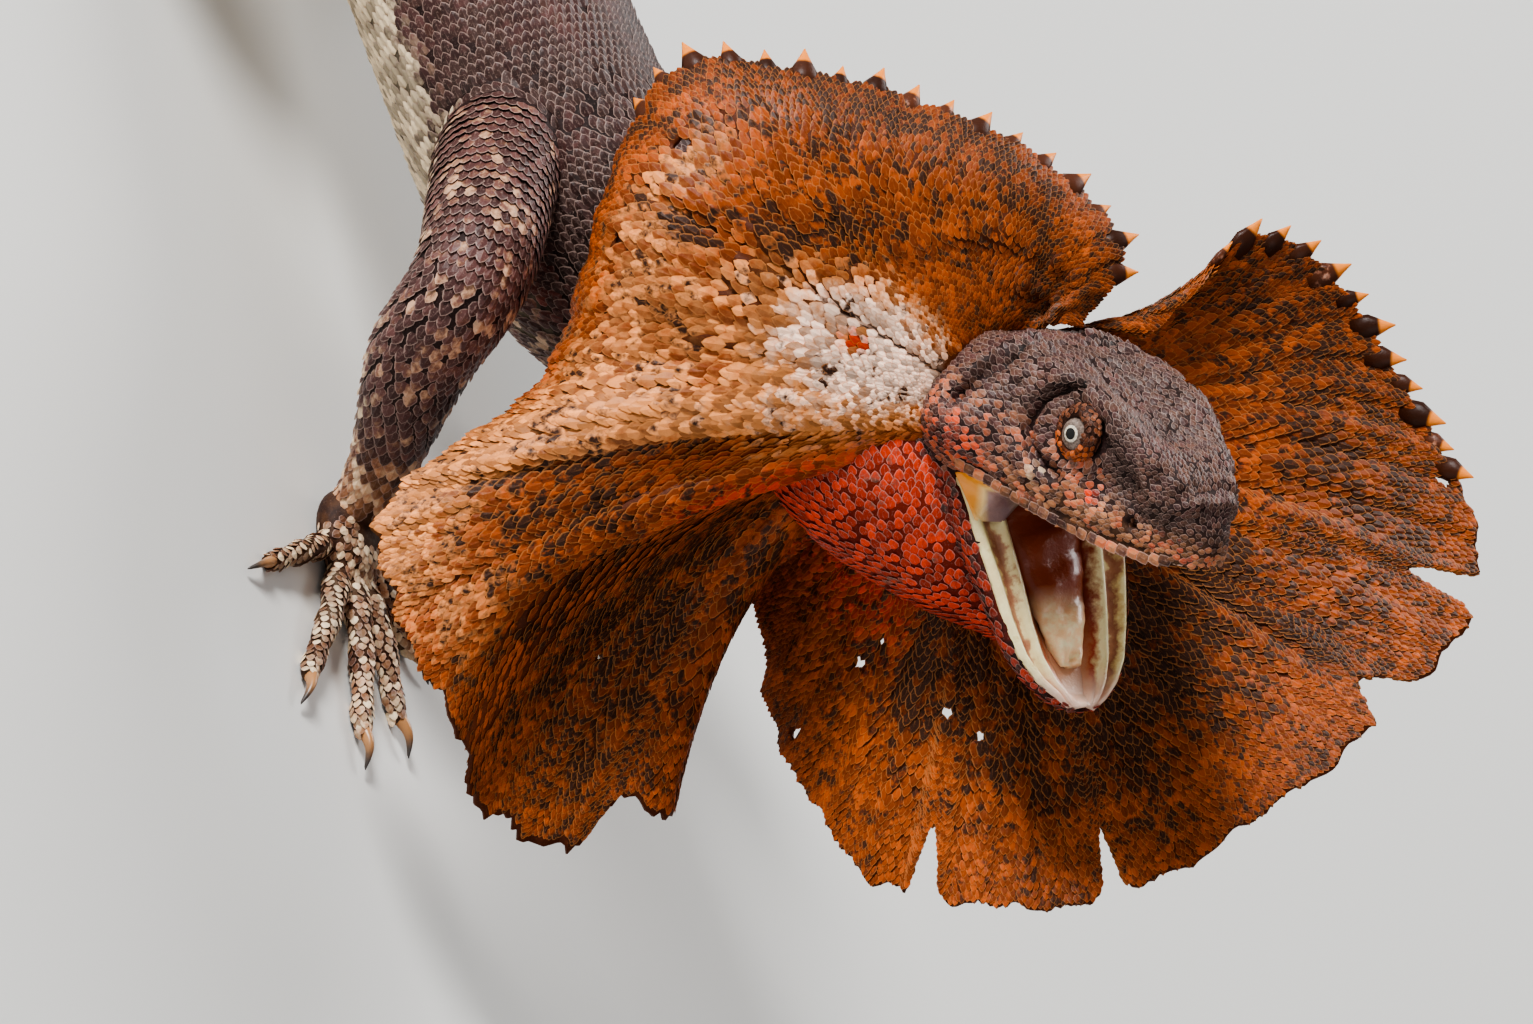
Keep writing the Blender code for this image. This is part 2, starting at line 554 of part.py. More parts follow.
def make_limb(names, rows, parted, side, digits, shift=(0.0, 0.0)):
    """A limb parted in three: the root length is cut clear of the trunk, and the foot is joined."""
    rows = np.array(rows, float)
    reach = np.linspace(0.0, 1.0, len(rows))
    rows[:, 0] = -side * (rows[:, 0] - reach * shift[0])
    rows[:, 1] += reach * shift[1]
    steps = 3
    fine = smooth(rows, steps)
    place = np.arange(len(fine)) / steps
    length = np.concatenate([[0.0], np.cumsum(np.linalg.norm(np.diff(fine[:, :3], axis=0), axis=1))])
    cuts = [0.0, *(float(np.interp(row, place, length)) for row in parted), float(length[-1])]
    for name, first, last in zip(names, cuts[:-1], cuts[1:]):
        first += GAP / 2 if first else 0.0
        last -= GAP / 2 if last < cuts[-1] else 0.0
        spots = [first, *(d for d in length if first + 1.5 < d < last - 1.5), last]
        part = np.array([[np.interp(d, length, fine[:, k]) for k in range(4)] for d in spots])
        piece = solid(name, *skinned(round_rings(part, fine, length, spots)))
        if name == names[0]:
            cut(piece, [trunk_block()])
        if name == names[2]:
            joined(piece, foot_pieces(rows[-1], side, digits))
            cut(piece, [floor_block()])


def round_rings(part, fine, length, spots, around=12):
    """Rings square to a limb, turned as little as possible from one to the next."""
    rings, side = [], None
    for row, spot in zip(part, spots):
        near, far = max(spot - 1.0, 0.0), min(spot + 1.0, length[-1])
        heading = np.array([np.interp(far, length, fine[:, k]) - np.interp(near, length, fine[:, k])
                            for k in range(3)])
        heading /= np.linalg.norm(heading)
        if side is None:
            side = np.cross(heading, (0.0, 0.0, 1.0))
        side = side - heading * float(side @ heading)
        side /= np.linalg.norm(side)
        up = np.cross(side, heading)
        rings.append([row[:3] + row[3] * (side * math.cos(t) + up * math.sin(t))
                      for t in np.arange(around) * 2 * math.pi / around])
    return np.array(rings)


def foot_pieces(wrist, side, digits):
    """The palm, the toes and their claws."""
    palm = np.array([wrist[0], wrist[1] - 4.0, 3.4])
    pieces = [ball("palm", palm, (8.5, 8.0, 4.6), np.array([(0.0, -1.0, 0.0), (1.0, 0.0, 0.0), (0.0, 0.0, 1.0)]), 6, 12)]
    for turn, length, radius in digits:
        angle = math.radians(turn)
        ahead = np.array([side * math.sin(angle), -math.cos(angle), 0.0])
        knuckle = length * 0.42
        low = radius - SOLE_SINK
        path = [(*(palm + ahead * 2.0), radius * 1.25), (*(palm + ahead * 7.0 - (0, 0, 3.4 - low - 1.0)), radius * 1.15),
                (*(palm + ahead * (7.0 + knuckle) + (0, 0, low + 1.6 - 3.4)), radius),
                (*(palm + ahead * (4.0 + length) + (0, 0, low - 3.4)), radius * 0.86),
                (*(palm + ahead * (7.0 + length) + (0, 0, low - 3.5)), radius * 0.7)]
        pieces.append(tube("toe", smooth(path, 2), 8))
        tip = np.array(path[-1][:3])
        claw = [(*(tip - ahead * 1.6), CLAW[1]), (*(tip + ahead * CLAW[0] * 0.5 + (0, 0, 0.9)), CLAW[1] * 0.8),
                (*(tip + ahead * CLAW[0] + (0, 0, -0.1)), 0.25)]
        pieces.append(tube("claw", claw, 5))
    return pieces


def frill_point(ray, out):
    """A point of the sheet at a fractional ray, a share of the way out, in the frill's layout."""
    table = at_ray(ray)
    root, middle, rim = table[0:3], table[3:6], table[6:9]
    bend = 2.0 * middle - 0.5 * (root + rim)
    return root * (1 - out) ** 2 + 2 * bend * out * (1 - out) + rim * out ** 2


def frill_normal(ray, out):
    """The sheet's facing, toward the side that shows round the mouth."""
    before, after = max(ray - NEARBY, 0.0), min(ray + NEARBY, len(RAYS) - 1.0)
    across = frill_point(after, out) - frill_point(before, out)
    outward = frill_point(ray, out + NEARBY) - frill_point(ray, out - NEARBY)
    normal = np.cross(outward, across)
    return -normal / np.linalg.norm(normal)


def at_ray(ray):
    flat = np.array(RAYS, float).reshape(len(RAYS), 9)
    i = min(int(ray), len(RAYS) - 2)
    t = ray - i
    a = flat[i - 1] if i else 2 * flat[0] - flat[1]
    b, c = flat[i], flat[i + 1]
    d = flat[i + 2] if i + 2 < len(RAYS) else 2 * flat[-1] - flat[-2]
    return 0.5 * (2 * b + (c - a) * t + (2 * a - 5 * b + 4 * c - d) * t ** 2 + (3 * b - a - 3 * c + d) * t ** 3)


def rim_share(ray):
    """How far out the rim lies at a ray, less than one in a notch."""
    share = 1.0 - 0.012 * (1 + math.sin(ray * 9.1) * math.cos(ray * 3.7))
    for place, width, depth in NOTCHES:
        share -= depth * max(0.0, 1.0 - ((ray - place) / width) ** 2)
    return share


def rod_rise(ray, out):
    """How far the hyoid rods raise the sheet."""
    rise = 0.0
    for place, reach in RODS:
        across = max(0.0, 1.0 - abs(ray - place) / ROD_WIDTH)
        rise = max(rise, across * min(1.0, max(0.0, (reach - out) / 0.15)))
    return rise * ROD_RISE


def frill_columns(first, last, steps):
    """Rays of a piece's columns: evenly spaced ones, and those that rods and notches need."""
    columns = {first, last}
    for k in range(int(first * steps), int(last * steps) + 2):
        columns.add(k / steps)
    for place, _reach in RODS:
        columns.update((place - ROD_WIDTH, place, place + ROD_WIDTH))
    for place, width, _depth in NOTCHES:
        columns.update((place - width, place, place + width))
    inside = sorted(c for c in columns if first < c < last)
    kept = [first]
    for c in inside:
        important = any(abs(c - place) < 1e-9 for place, _reach in RODS) or any(
            abs(c - place) < 1e-9 for place, _width, _depth in NOTCHES)
        if c - kept[-1] > 0.11 or important:
            if c - kept[-1] <= 0.11 and len(kept) > 1:
                kept.pop()
            kept.append(c)
    if last - kept[-1] < 0.11:
        kept.pop()
    return kept + [last]


def make_frill(name, first, last, steps):
    """One stretch of the folded sheet, with its rods and its rim's spikes."""
    columns = frill_columns(first, last, steps)
    shares = (np.arange(FRILL_ROWS + 1) / FRILL_ROWS) ** 0.9
    grid = np.array([[frill_point(c, s * rim_share(c)) for s in shares] for c in columns])
    ends = ((0, 0.5 * GAP if first > 0 else 0.0), (-1, -0.5 * GAP if last < len(RAYS) - 1 else 0.0))
    for end, step in ends:
        ray = columns[end]
        for j, s in enumerate(shares):
            across = frill_point(min(ray + 0.05, len(RAYS) - 1), s) - frill_point(max(ray - 0.05, 0.0), s)
            grid[end, j] += across / np.linalg.norm(across) * step
    normal = np.array([[frill_normal(c, s) for s in shares] for c in columns])
    thick = np.array([[FRILL_THICK[0] + (FRILL_THICK[1] - FRILL_THICK[0]) * s for s in shares]] * len(columns))
    rise = np.array([[rod_rise(c, s) for s in shares] for c in columns])
    front = in_frill(grid + normal * (thick / 2 + rise)[..., None])
    back = in_frill(grid - normal * (thick / 2 + rise * 0.5)[..., None])
    piece = solid(name, *sheet(front, back), "frill")
    spikes = [spike(*place) for place in spike_places(first, last)]
    if spikes:
        joined(piece, spikes)
    return cut(piece, [solid("skull", *skinned(grown(skull_rings(), GAP))),
                       solid("jaw", *skinned(grown(jaw_rings(), GAP))),
                       solid("neck", *skinned(grown(spine_rings(0.0, 4.0), GAP))),
                       solid("pouch", *skinned(grown(pouch_rings(), GAP)))])


def sheet(front, back):
    """Points and triangles of a closed sheet, split alike on both faces."""
    count, rows, _ = front.shape
    points = np.concatenate([front.reshape(-1, 3), back.reshape(-1, 3)])
    under = count * rows
    faces = []
    for i in range(count - 1):
        for j in range(rows - 1):
            a, b = i * rows + j, i * rows + j + 1
            c, d = (i + 1) * rows + j + 1, (i + 1) * rows + j
            faces += [(a, b, c), (a, c, d), (a + under, c + under, b + under), (a + under, d + under, c + under)]
    edge = [i * rows for i in range(count)]
    edge += [(count - 1) * rows + j for j in range(1, rows)]
    edge += [i * rows + rows - 1 for i in range(count - 2, -1, -1)]
    edge += [j for j in range(rows - 2, 0, -1)]
    for a, b in zip(edge, edge[1:] + edge[:1]):
        faces += [(a, b, b + under), (a, b + under, a + under)]
    return points, faces


def spike_places(first, last):
    """The rim points that carry a spike, evenly spaced along the spiked stretches."""
    places = []
    for start, end in SPIKED:
        rays = np.linspace(start, end, 240)
        rim = np.array([frill_point(ray, rim_share(ray)) for ray in rays])
        length = np.concatenate([[0.0], np.cumsum(np.linalg.norm(np.diff(rim, axis=0), axis=1))])
        count = int(length[-1] / SPIKE_PITCH)
        for k in range(count):
            ray = float(np.interp((k + 0.5) * length[-1] / count, length, rays))
            if first + 0.12 < ray < last - 0.12:
                places.append((ray, 1.0 + 0.18 * math.sin(k * 2.4)))
    return places


def spike(ray, size):
    """A flat thorn that grows out of the rim, with its root sunk in the sheet."""
    share = rim_share(ray)
    tip = frill_point(ray, share)
    outward = tip - frill_point(ray, share - 0.08)
    outward /= np.linalg.norm(outward)
    across = frill_point(ray + 0.04, share) - frill_point(ray - 0.04, share)
    across -= outward * float(across @ outward)
    across /= np.linalg.norm(across)
    through = np.cross(outward, across)
    height, half = SPIKE[0] * size, SPIKE[1] * size
    rings = []
    for reach, scale in ((-2.2, 0.8), (0.0, 1.0), (height * 0.55, 0.55)):
        middle = tip + outward * reach
        rings.append([middle + across * half * scale, middle + through * 0.55 * scale,
                      middle - across * half * scale, middle - through * 0.55 * scale])
    points, faces = skinned(np.array(rings))
    points[-1] = tip + outward * height
    return solid("spike", in_frill(points), faces, "frill")


def build():
    clear_scene()
    make_head()
    make_eyes()
    make_jaw()
    make_throat()
    make_body()
    for name, first, last, steps in FRILL:
        make_frill(name, first, last, steps)
    for side_name, side, shift in (("right", -1.0, (0.0, 0.0)), ("left", 1.0, LEFT_ARM_SHIFT)):
        arm = [f"{side_name}_{part}" for part in ("upper_arm", "forearm", "hand")]
        leg = [f"{side_name}_{part}" for part in ("thigh", "shin", "foot")]
        make_limb(arm, ARM, ARM_CUTS, side, FINGERS, shift)
        make_limb(leg, LEG, LEG_CUTS, side, TOES)


build()
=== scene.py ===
import math
import bpy
import bmesh
import numpy as np
from mathutils import Matrix, Vector
from mathutils.bvhtree import BVHTree
from mathutils.kdtree import KDTree


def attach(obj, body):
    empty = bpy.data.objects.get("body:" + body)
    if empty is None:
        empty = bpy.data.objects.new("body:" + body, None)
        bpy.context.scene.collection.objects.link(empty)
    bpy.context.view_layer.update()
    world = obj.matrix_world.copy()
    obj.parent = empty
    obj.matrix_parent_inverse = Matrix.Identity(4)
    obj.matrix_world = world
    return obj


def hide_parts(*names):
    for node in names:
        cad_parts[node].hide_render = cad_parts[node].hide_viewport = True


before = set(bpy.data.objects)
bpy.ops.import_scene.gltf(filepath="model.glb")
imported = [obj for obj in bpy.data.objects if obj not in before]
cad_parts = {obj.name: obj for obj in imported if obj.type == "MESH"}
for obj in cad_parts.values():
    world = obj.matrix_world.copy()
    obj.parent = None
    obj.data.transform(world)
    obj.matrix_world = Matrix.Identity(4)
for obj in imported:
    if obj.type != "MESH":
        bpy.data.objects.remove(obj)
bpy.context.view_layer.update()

# The skin: one hide over head, jaw, throat, trunk, tail and legs, without a seam.
# Its forms are swept in millimetres from the floor below the frill's root, fused by a voxel
# remesh, smoothed, and then pressed in and out where folds, brows and nostrils lie.
MM = 0.001
FOOTPRINT = np.array([0.0, 257.8, 0.0])     # middle of the floor that it covers, from the frill's root
FRILL_ROOT = np.array([0.0, 0.0, 110.0])
FRILL_AZIMUTH, FRILL_ELEVATION, FRILL_ROLL = 74.9, 24.3, 68.9
HEAD_PITCH, HEAD_YAW, HEAD_ROLL = 37.5, 27.3, 36.0
GAPE, JAW_SWING = 42.5, 2.5
COAT_DEPTH = 0.35                           # how far the hide lies inside the solids, for its scales
HIDE_VOXEL = 0.62
HIDE_SHARE = 0.34                           # of its faces that are kept once its shape is pressed


def to_world(points):
    return (np.asarray(points, float) - FOOTPRINT) * MM


def smooth(rows, steps):
    """Rows read along a curve that passes through each of them."""
    rows = np.array(rows, float)
    padded = np.concatenate([[2 * rows[0] - rows[1]], rows, [2 * rows[-1] - rows[-2]]])
    t = (np.arange(steps) / steps)[:, None]
    out = []
    for a, b, c, d in zip(padded, padded[1:], padded[2:], padded[3:]):
        out.append(0.5 * (2 * b + (c - a) * t + (2 * a - 5 * b + 4 * c - d) * t ** 2
                          + (3 * b - a - 3 * c + d) * t ** 3))
    return np.concatenate(out + [rows[-1:]])


def unit(vectors):
    return vectors / np.maximum(np.linalg.norm(vectors, axis=-1, keepdims=True), 1e-9)


def ramp(value, low, high):
    """0 below low, 1 above high, and smooth between them."""
    t = np.clip((np.asarray(value, float) - low) / (high - low), 0.0, 1.0)
    return t * t * (3 - 2 * t)


def head_axes(pitch):
    p, y, r = (math.radians(angle) for angle in (pitch, HEAD_YAW, HEAD_ROLL))
    forward = np.array([-math.sin(y) * math.cos(p), -math.cos(y) * math.cos(p), math.sin(p)])
    left = np.array([math.cos(y), -math.sin(y), 0.0])
    up = np.cross(forward, left)
    return np.array([forward, left * math.cos(r) + up * math.sin(r),
                     up * math.cos(r) - left * math.sin(r)])


def view_axes(azimuth, elevation, roll):
    a, e, r = (math.radians(angle) for angle in (azimuth, elevation, roll))
    toward = np.array([-math.sin(a) * math.cos(e), -math.cos(a) * math.cos(e), math.sin(e)])
    right = unit(np.cross((0.0, 0.0, 1.0), toward))
    up = np.cross(toward, right)
    return np.array([right * math.cos(r) + up * math.sin(r), up * math.cos(r) - right * math.sin(r),
                     toward])


SKULL_AXES = head_axes(HEAD_PITCH)
gape = math.radians(GAPE)
jaw_along = SKULL_AXES[0] * math.cos(gape) - SKULL_AXES[2] * math.sin(gape)
jaw_swing = math.radians(JAW_SWING)
JAW_AXES = np.array([jaw_along * math.cos(jaw_swing) - SKULL_AXES[1] * math.sin(jaw_swing),
                     SKULL_AXES[1] * math.cos(jaw_swing) + jaw_along * math.sin(jaw_swing),
                     SKULL_AXES[2] * math.cos(gape) + SKULL_AXES[0] * math.sin(gape)])
FRILL_AXES = view_axes(FRILL_AZIMUTH, FRILL_ELEVATION, FRILL_ROLL)
HINGE = np.array([5.3, -2.3, 0.0]) @ FRILL_AXES + FRILL_ROOT


def in_head(points, axes=SKULL_AXES):
    """Places given forward, left and up of the jaw hinge."""
    return np.asarray(points, float) @ axes + HINGE


def beside(side, points):
    """Places given forward, out and up of the hinge, on the right (-1) or the left (1)."""
    return in_head(np.asarray(points, float) * (1.0, side, 1.0))


def on_head(places, axes=SKULL_AXES):
    """The way back: forward, left and up of the hinge, of places in millimetres."""
    return (places - HINGE) @ axes.T


def in_frill(points):
    return np.asarray(points, float) @ FRILL_AXES + FRILL_ROOT


def skinned(rings):
    """Points and faces of a closed skin over rings with as many points each."""
    rings = np.asarray(rings, float)
    count, around, _ = rings.shape
    points = np.concatenate([rings.reshape(-1, 3), [rings[0].mean(axis=0), rings[-1].mean(axis=0)]])
    faces = []
    for i in range(count - 1):
        for j in range(around):
            k = (j + 1) % around
            faces.append((i * around + j, i * around + k, (i + 1) * around + k, (i + 1) * around + j))
    first, last = count * around, count * around + 1
    for j in range(around):
        k = (j + 1) % around
        faces.append((first, k, j))
        faces.append((last, (count - 1) * around + j, (count - 1) * around + k))
    return points, faces


def swept(rows, around, side=None):
    """Rings square to a path of centre, half width and half height, turned as little as possible."""
    rows = np.asarray(rows, float)
    headings = unit(np.gradient(rows[:, :3], axis=0))
    turns = np.arange(around) * 2 * math.pi / around
    rings = []
    for row, heading in zip(rows, headings):
        side = np.cross(heading, (0.0, 0.0, 1.0)) if side is None else side
        side = unit(side - heading * float(side @ heading))
        up = np.cross(side, heading)
        rings.append(row[:3] + side * row[3] * np.cos(turns)[:, None] + up * row[-1] * np.sin(turns)[:, None])
    return np.array(rings)


def mesh_object(name, points, faces, flat=False):
    mesh = bpy.data.meshes.new(name)
    mesh.from_pydata(np.asarray(points).tolist(), [], faces)
    if not flat:
        mesh.polygons.foreach_set("use_smooth", [True] * len(mesh.polygons))
    thing = bpy.data.objects.new(name, mesh)
    bpy.context.collection.objects.link(thing)
    return thing


def facing_out(thing):
    made = bmesh.new()
    made.from_mesh(thing.data)
    bmesh.ops.recalc_face_normals(made, faces=made.faces[:])
    made.to_mesh(thing.data)
    made.free()


def as_made(thing):
    """The mesh with its modifiers applied."""
    bpy.context.view_layer.update()
    result = bpy.data.meshes.new_from_object(thing.evaluated_get(bpy.context.evaluated_depsgraph_get()))
    thing.modifiers.clear()
    thing.data = result


def joined(name, shapes):
    """One mesh object of several lists of points and faces."""
    points, faces, start = [], [], 0
    for some_points, some_faces in shapes:
        points.append(np.asarray(some_points))
        faces += [tuple(start + corner for corner in face) for face in some_faces]
        start += len(some_points)
    return mesh_object(name, to_world(np.concatenate(points)), faces)


# Forward of the hinge, lip half width and height, cheek half width and height, brow half width
# and height, crown height, palate height.
SKULL = [
    (-13.0, 9.0, -6.0, 12.5, 3.0, 8.0, 10.8, 12.6, -7.5),
    (-6.5, 14.0, -7.0, 19.0, 3.5, 11.2, 14.4, 16.2, -8.0),
    (0.0, 17.0, -5.2, 21.6, 4.2, 12.0, 16.6, 18.0, -6.4),
    (7.0, 19.0, -2.2, 21.0, 5.2, 12.0, 17.8, 18.6, -3.6),
    (13.0, 17.6, -2.2, 18.6, 5.0, 11.4, 18.4, 18.4, -0.6),
    (19.5, 15.8, -2.7, 16.2, 4.8, 10.8, 18.6, 17.6, 0.4),
    (26.0, 14.0, -2.9, 14.2, 4.4, 9.8, 18.0, 17.0, 0.6),
    (31.5, 12.2, -3.0, 12.4, 4.0, 8.8, 16.6, 16.0, 0.6),
    (37.5, 10.0, -2.9, 10.2, 3.8, 7.9, 15.0, 15.0, 0.6),
    (43.0, 7.6, -2.2, 7.8, 3.8, 6.6, 12.6, 13.4, 0.8),
    (47.4, 5.0, -1.3, 5.3, 3.6, 3.8, 9.2, 10.4, 0.9),
    (49.8, 3.2, -0.7, 3.5, 3.2, 2.4, 6.4, 7.2, 0.8),
    (51.2, 1.6, 0.1, 1.8, 2.6, 1.5, 4.4, 4.8, 0.6),
]
# Along the jaw, lip half width and height, widest half width and its height, chin half width and
# height, height of the mouth's floor.
JAW = [
    (-5.0, 13.5, -3.0, 16.0, -7.0, 8.5, -13.5, -4.0),
    (1.0, 16.5, -1.0, 18.6, -6.0, 9.6, -13.2, -4.4),
    (7.5, 17.0, 0.0, 18.0, -5.0, 9.6, -12.2, -4.8),
    (15.0, 15.4, 0.0, 16.2, -4.4, 9.0, -10.8, -4.8),
    (24.0, 13.8, -0.6, 14.4, -4.6, 7.8, -9.8, -5.0),
    (32.0, 12.2, -1.2, 12.8, -4.6, 6.8, -8.8, -5.0),
    (38.0, 10.4, -1.6, 11.0, -4.6, 5.8, -7.8, -4.6),
    (42.0, 7.8, -1.6, 8.4, -4.4, 4.4, -7.0, -4.2),
    (45.0, 4.6, -1.4, 5.2, -4.0, 2.8, -6.0, -3.6),
    (46.8, 2.0, -1.2, 2.4, -3.2, 1.2, -4.4, -2.2),
]
# The throat's pouch, from the chin back, in the frill's layout, with its radius.
POUCH = [(9.0, -35.0, 1.0, 4.5), (1.0, -26.5, -2.0, 9.5), (-8.0, -18.5, -2.0, 13.0),
         (-18.0, -9.0, -4.0, 15.5), (-27.0, 1.0, -9.0, 15.5)]
# The body's curve: sideways, back, up, half width, half height.
SPINE = [
    (4.0, 5.0, 105.0, 14.5, 13.0), (2.5, 15.0, 96.0, 15.0, 15.5), (0.5, 27.0, 79.0, 16.0, 19.0),
    (-1.0, 41.0, 60.0, 20.0, 22.5), (-2.0, 62.0, 48.0, 24.0, 23.0), (-2.0, 90.0, 42.5, 26.0, 21.0),
    (-1.0, 122.0, 39.5, 27.5, 20.5), (0.0, 151.0, 37.0, 22.5, 19.0), (0.0, 174.0, 33.5, 17.0, 16.5),
    (0.0, 192.0, 28.0, 12.5, 13.5), (1.0, 214.0, 20.0, 9.8, 11.0), (4.0, 244.0, 11.0, 8.4, 9.2),
    (10.0, 280.0, 7.4, 7.3, 7.8), (20.0, 325.0, 6.2, 6.3, 6.6), (30.0, 375.0, 5.2, 5.3, 5.5),
    (35.0, 425.0, 4.2, 4.4, 4.5), (33.0, 475.0, 3.3, 3.5, 3.6), (24.0, 522.0, 2.5, 2.7, 2.8),
    (10.0, 562.0, 1.7, 2.0, 2.0), (-6.0, 592.0, 1.1, 1.3, 1.4),
]
ARM = [(-10.0, 76.0, 46.0, 11.0), (-27.0, 63.0, 47.5, 10.8), (-43.0, 43.0, 46.5, 9.6),
       (-40.0, 34.0, 32.0, 8.8), (-29.0, 24.5, 16.0, 6.0), (-25.0, 18.5, 6.6, 4.8)]
LEG = [(-8.0, 168.0, 36.0, 12.5), (-28.0, 158.0, 38.0, 12.6), (-52.0, 150.0, 39.0, 9.6),
       (-57.0, 166.0, 28.0, 8.8), (-52.0, 184.0, 15.0, 6.0), (-53.0, 187.0, 7.4, 5.0)]
LEFT_ARM_SHIFT = (18.0, 6.0)
FINGERS = [(-38.0, 17.0, 2.3), (-8.0, 25.0, 2.4), (14.0, 29.0, 2.4), (40.0, 27.0, 2.3), (76.0, 20.0, 2.2)]
TOES = [(-30.0, 16.0, 2.4), (-12.0, 25.0, 2.5), (4.0, 34.0, 2.6), (18.0, 45.0, 2.6), (66.0, 25.0, 2.4)]
SOLE_SINK = 0.9
PALM_AHEAD, PALM_HEIGHT, PALM_RADII = 4.0, 3.4, (8.3, 7.8, 4.4)


def half_section(corners, around):
    side = smooth(corners, around)
    other = side[1:-1][::-1] * (-1.0, 1.0)
    return np.concatenate([side, other])


def skull_rings(steps, around):
    rings = []
    for forward, lip, lip_up, cheek, cheek_up, brow, brow_up, crown, palate in smooth(SKULL, steps):
        ring = half_section([(0.0, palate), (lip * 0.72, palate - 0.4), (lip, lip_up), (cheek, cheek_up),
                             (brow, brow_up), (brow * 0.5, 0.4 * brow_up + 0.6 * crown),
                             (0.0, crown)], around)
        rings.append([(forward, side, up) for side, up in ring])
    return in_head(rings)


def jaw_rings(steps, around):
    rings = []
    for forward, lip, lip_up, wide, wide_up, chin, chin_up, floor in smooth(JAW, steps):
        ring = half_section([(0.0, chin_up), (chin, chin_up + 0.8), (wide, wide_up), (lip, lip_up),
                             (lip * 0.74, floor + 0.6), (0.0, floor)], around)
        rings.append([(forward, side, up) for side, up in ring])
    return in_head(rings, JAW_AXES)


def limb_rows(rows, side, shift):
    rows = np.array(rows, float)
    reach = np.linspace(0.0, 1.0, len(rows))
    rows[:, 0] = -side * (rows[:, 0] - reach * shift[0])
    rows[:, 1] += reach * shift[1]
    return rows


def toe_rows(wrist, side, digit):
    """A toe's path from the palm, with its radius and a swelling at each joint."""
    turn, length, radius = digit
    angle, knuckle, low = math.radians(turn), length * 0.42, radius - SOLE_SINK
    ahead = np.array([side * math.sin(angle), -math.cos(angle), 0.0])
    palm = np.array([wrist[0], wrist[1] - PALM_AHEAD, 0.0])
    path = [(*(palm + ahead * 2.0 + (0, 0, PALM_HEIGHT)), radius * 1.25),
            (*(palm + ahead * 7.0 + (0, 0, low + 1.0)), radius * 1.15),
            (*(palm + ahead * (7.0 + knuckle) + (0, 0, low + 1.6)), radius),
            (*(palm + ahead * (4.0 + length) + (0, 0, low)), radius * 0.86),
            (*(palm + ahead * (7.0 + length) + (0, 0, low - 0.1)), radius * 0.7)]
    rows = smooth(path, 8)
    rows[:, 3] *= 1.0 + 0.09 * np.sin(np.arange(len(rows)) * 1.15)
    return rows, ahead


limbs = []
for side, shift in ((-1.0, (0.0, 0.0)), (1.0, LEFT_ARM_SHIFT)):
    limbs.append(("arm", side, limb_rows(ARM, side, shift), FINGERS))
    limbs.append(("leg", side, limb_rows(LEG, side, (0.0, 0.0)), TOES))

# Every swept form is kept with a name, for laying the scales along it later.
forms = {"skull": skull_rings(6, 7), "jaw": jaw_rings(6, 6)}
pouch = smooth([(*in_frill(row[:3]), row[3]) for row in POUCH], 8)
forms["pouch"] = swept(pouch, 40)
forms["trunk"] = swept(smooth(SPINE, 6), 44)
toe_ends = []
for kind, side, rows, digits in limbs:
    label = f"{kind}_{'right' if side < 0 else 'left'}"
    forms[label] = swept(smooth(rows, 8), 30)
    for number, digit in enumerate(digits):
        path, ahead = toe_rows(rows[-1], side, digit)
        forms[f"{label}_toe_{number}"] = swept(path, 16)
        toe_ends.append((path[-1], ahead))


def thinner(rings, by):
    middles = rings.mean(axis=1, keepdims=True)
    out = rings - middles
    reach = np.linalg.norm(out, axis=2, keepdims=True)
    return middles + out * np.maximum(reach - by, 0.3) / np.maximum(reach, 1e-6)


def ball(centre, radii, axes, rows=12, around=20):
    rings = []
    for polar in np.linspace(0.0, math.pi, rows + 1)[1:-1]:
        ring = [(-math.cos(polar), math.sin(polar) * math.cos(t), math.sin(polar) * math.sin(t))
                for t in np.arange(around) * 2 * math.pi / around]
        rings.append(np.array(ring) * radii @ axes + centre)
    points, faces = skinned(rings)
    points[-2], points[-1] = centre - axes[0] * radii[0], centre + axes[0] * radii[0]
    return points, faces


FLAT_AXES = np.array([(0.0, -1.0, 0.0), (1.0, 0.0, 0.0), (0.0, 0.0, 1.0)])
shapes = [skinned(thinner(rings, COAT_DEPTH)) for rings in forms.values()]
for _kind, _side, rows, _digits in limbs:
    palm = np.array([rows[-1][0], rows[-1][1] - PALM_AHEAD, PALM_HEIGHT])
    shapes.append(ball(palm, PALM_RADII, FLAT_AXES))
BROW_RIDGE = [(11.0, 10.4, 16.9), (16.0, 10.3, 17.6), (22.0, 9.7, 17.8), (28.0, 8.9, 16.8),
              (34.0, 7.7, 14.9), (41.0, 6.7, 12.2)]
NAPE_FOLD = [(1.0, 5.0, 17.4), (2.2, 10.0, 16.4), (3.2, 15.0, 14.2), (3.0, 18.6, 11.6)]
FOLD_RADIUS = 1.7
for side in (-1.0, 1.0):
    for path in (BROW_RIDGE, NAPE_FOLD):
        fold = [(*beside(side, point), FOLD_RADIUS) for point in path]
        shapes.append(skinned(swept(smooth(fold, 5), 12)))
hide = joined("hide", shapes)
facing_out(hide)
fuse = hide.modifiers.new("fuse", "REMESH")
fuse.mode = "VOXEL"
fuse.voxel_size = HIDE_VOXEL * MM
fuse.use_smooth_shade = True
ease = hide.modifiers.new("ease", "SMOOTH")
ease.factor = 0.5
ease.iterations = 5
as_made(hide)


def places_of(mesh):
    flat = np.empty(len(mesh.vertices) * 3)
    mesh.vertices.foreach_get("co", flat)
    return flat.reshape(-1, 3) / MM + FOOTPRINT


def facings_of(mesh):
    flat = np.empty(len(mesh.vertices) * 3)
    mesh.vertices.foreach_get("normal", flat)
    return flat.reshape(-1, 3)


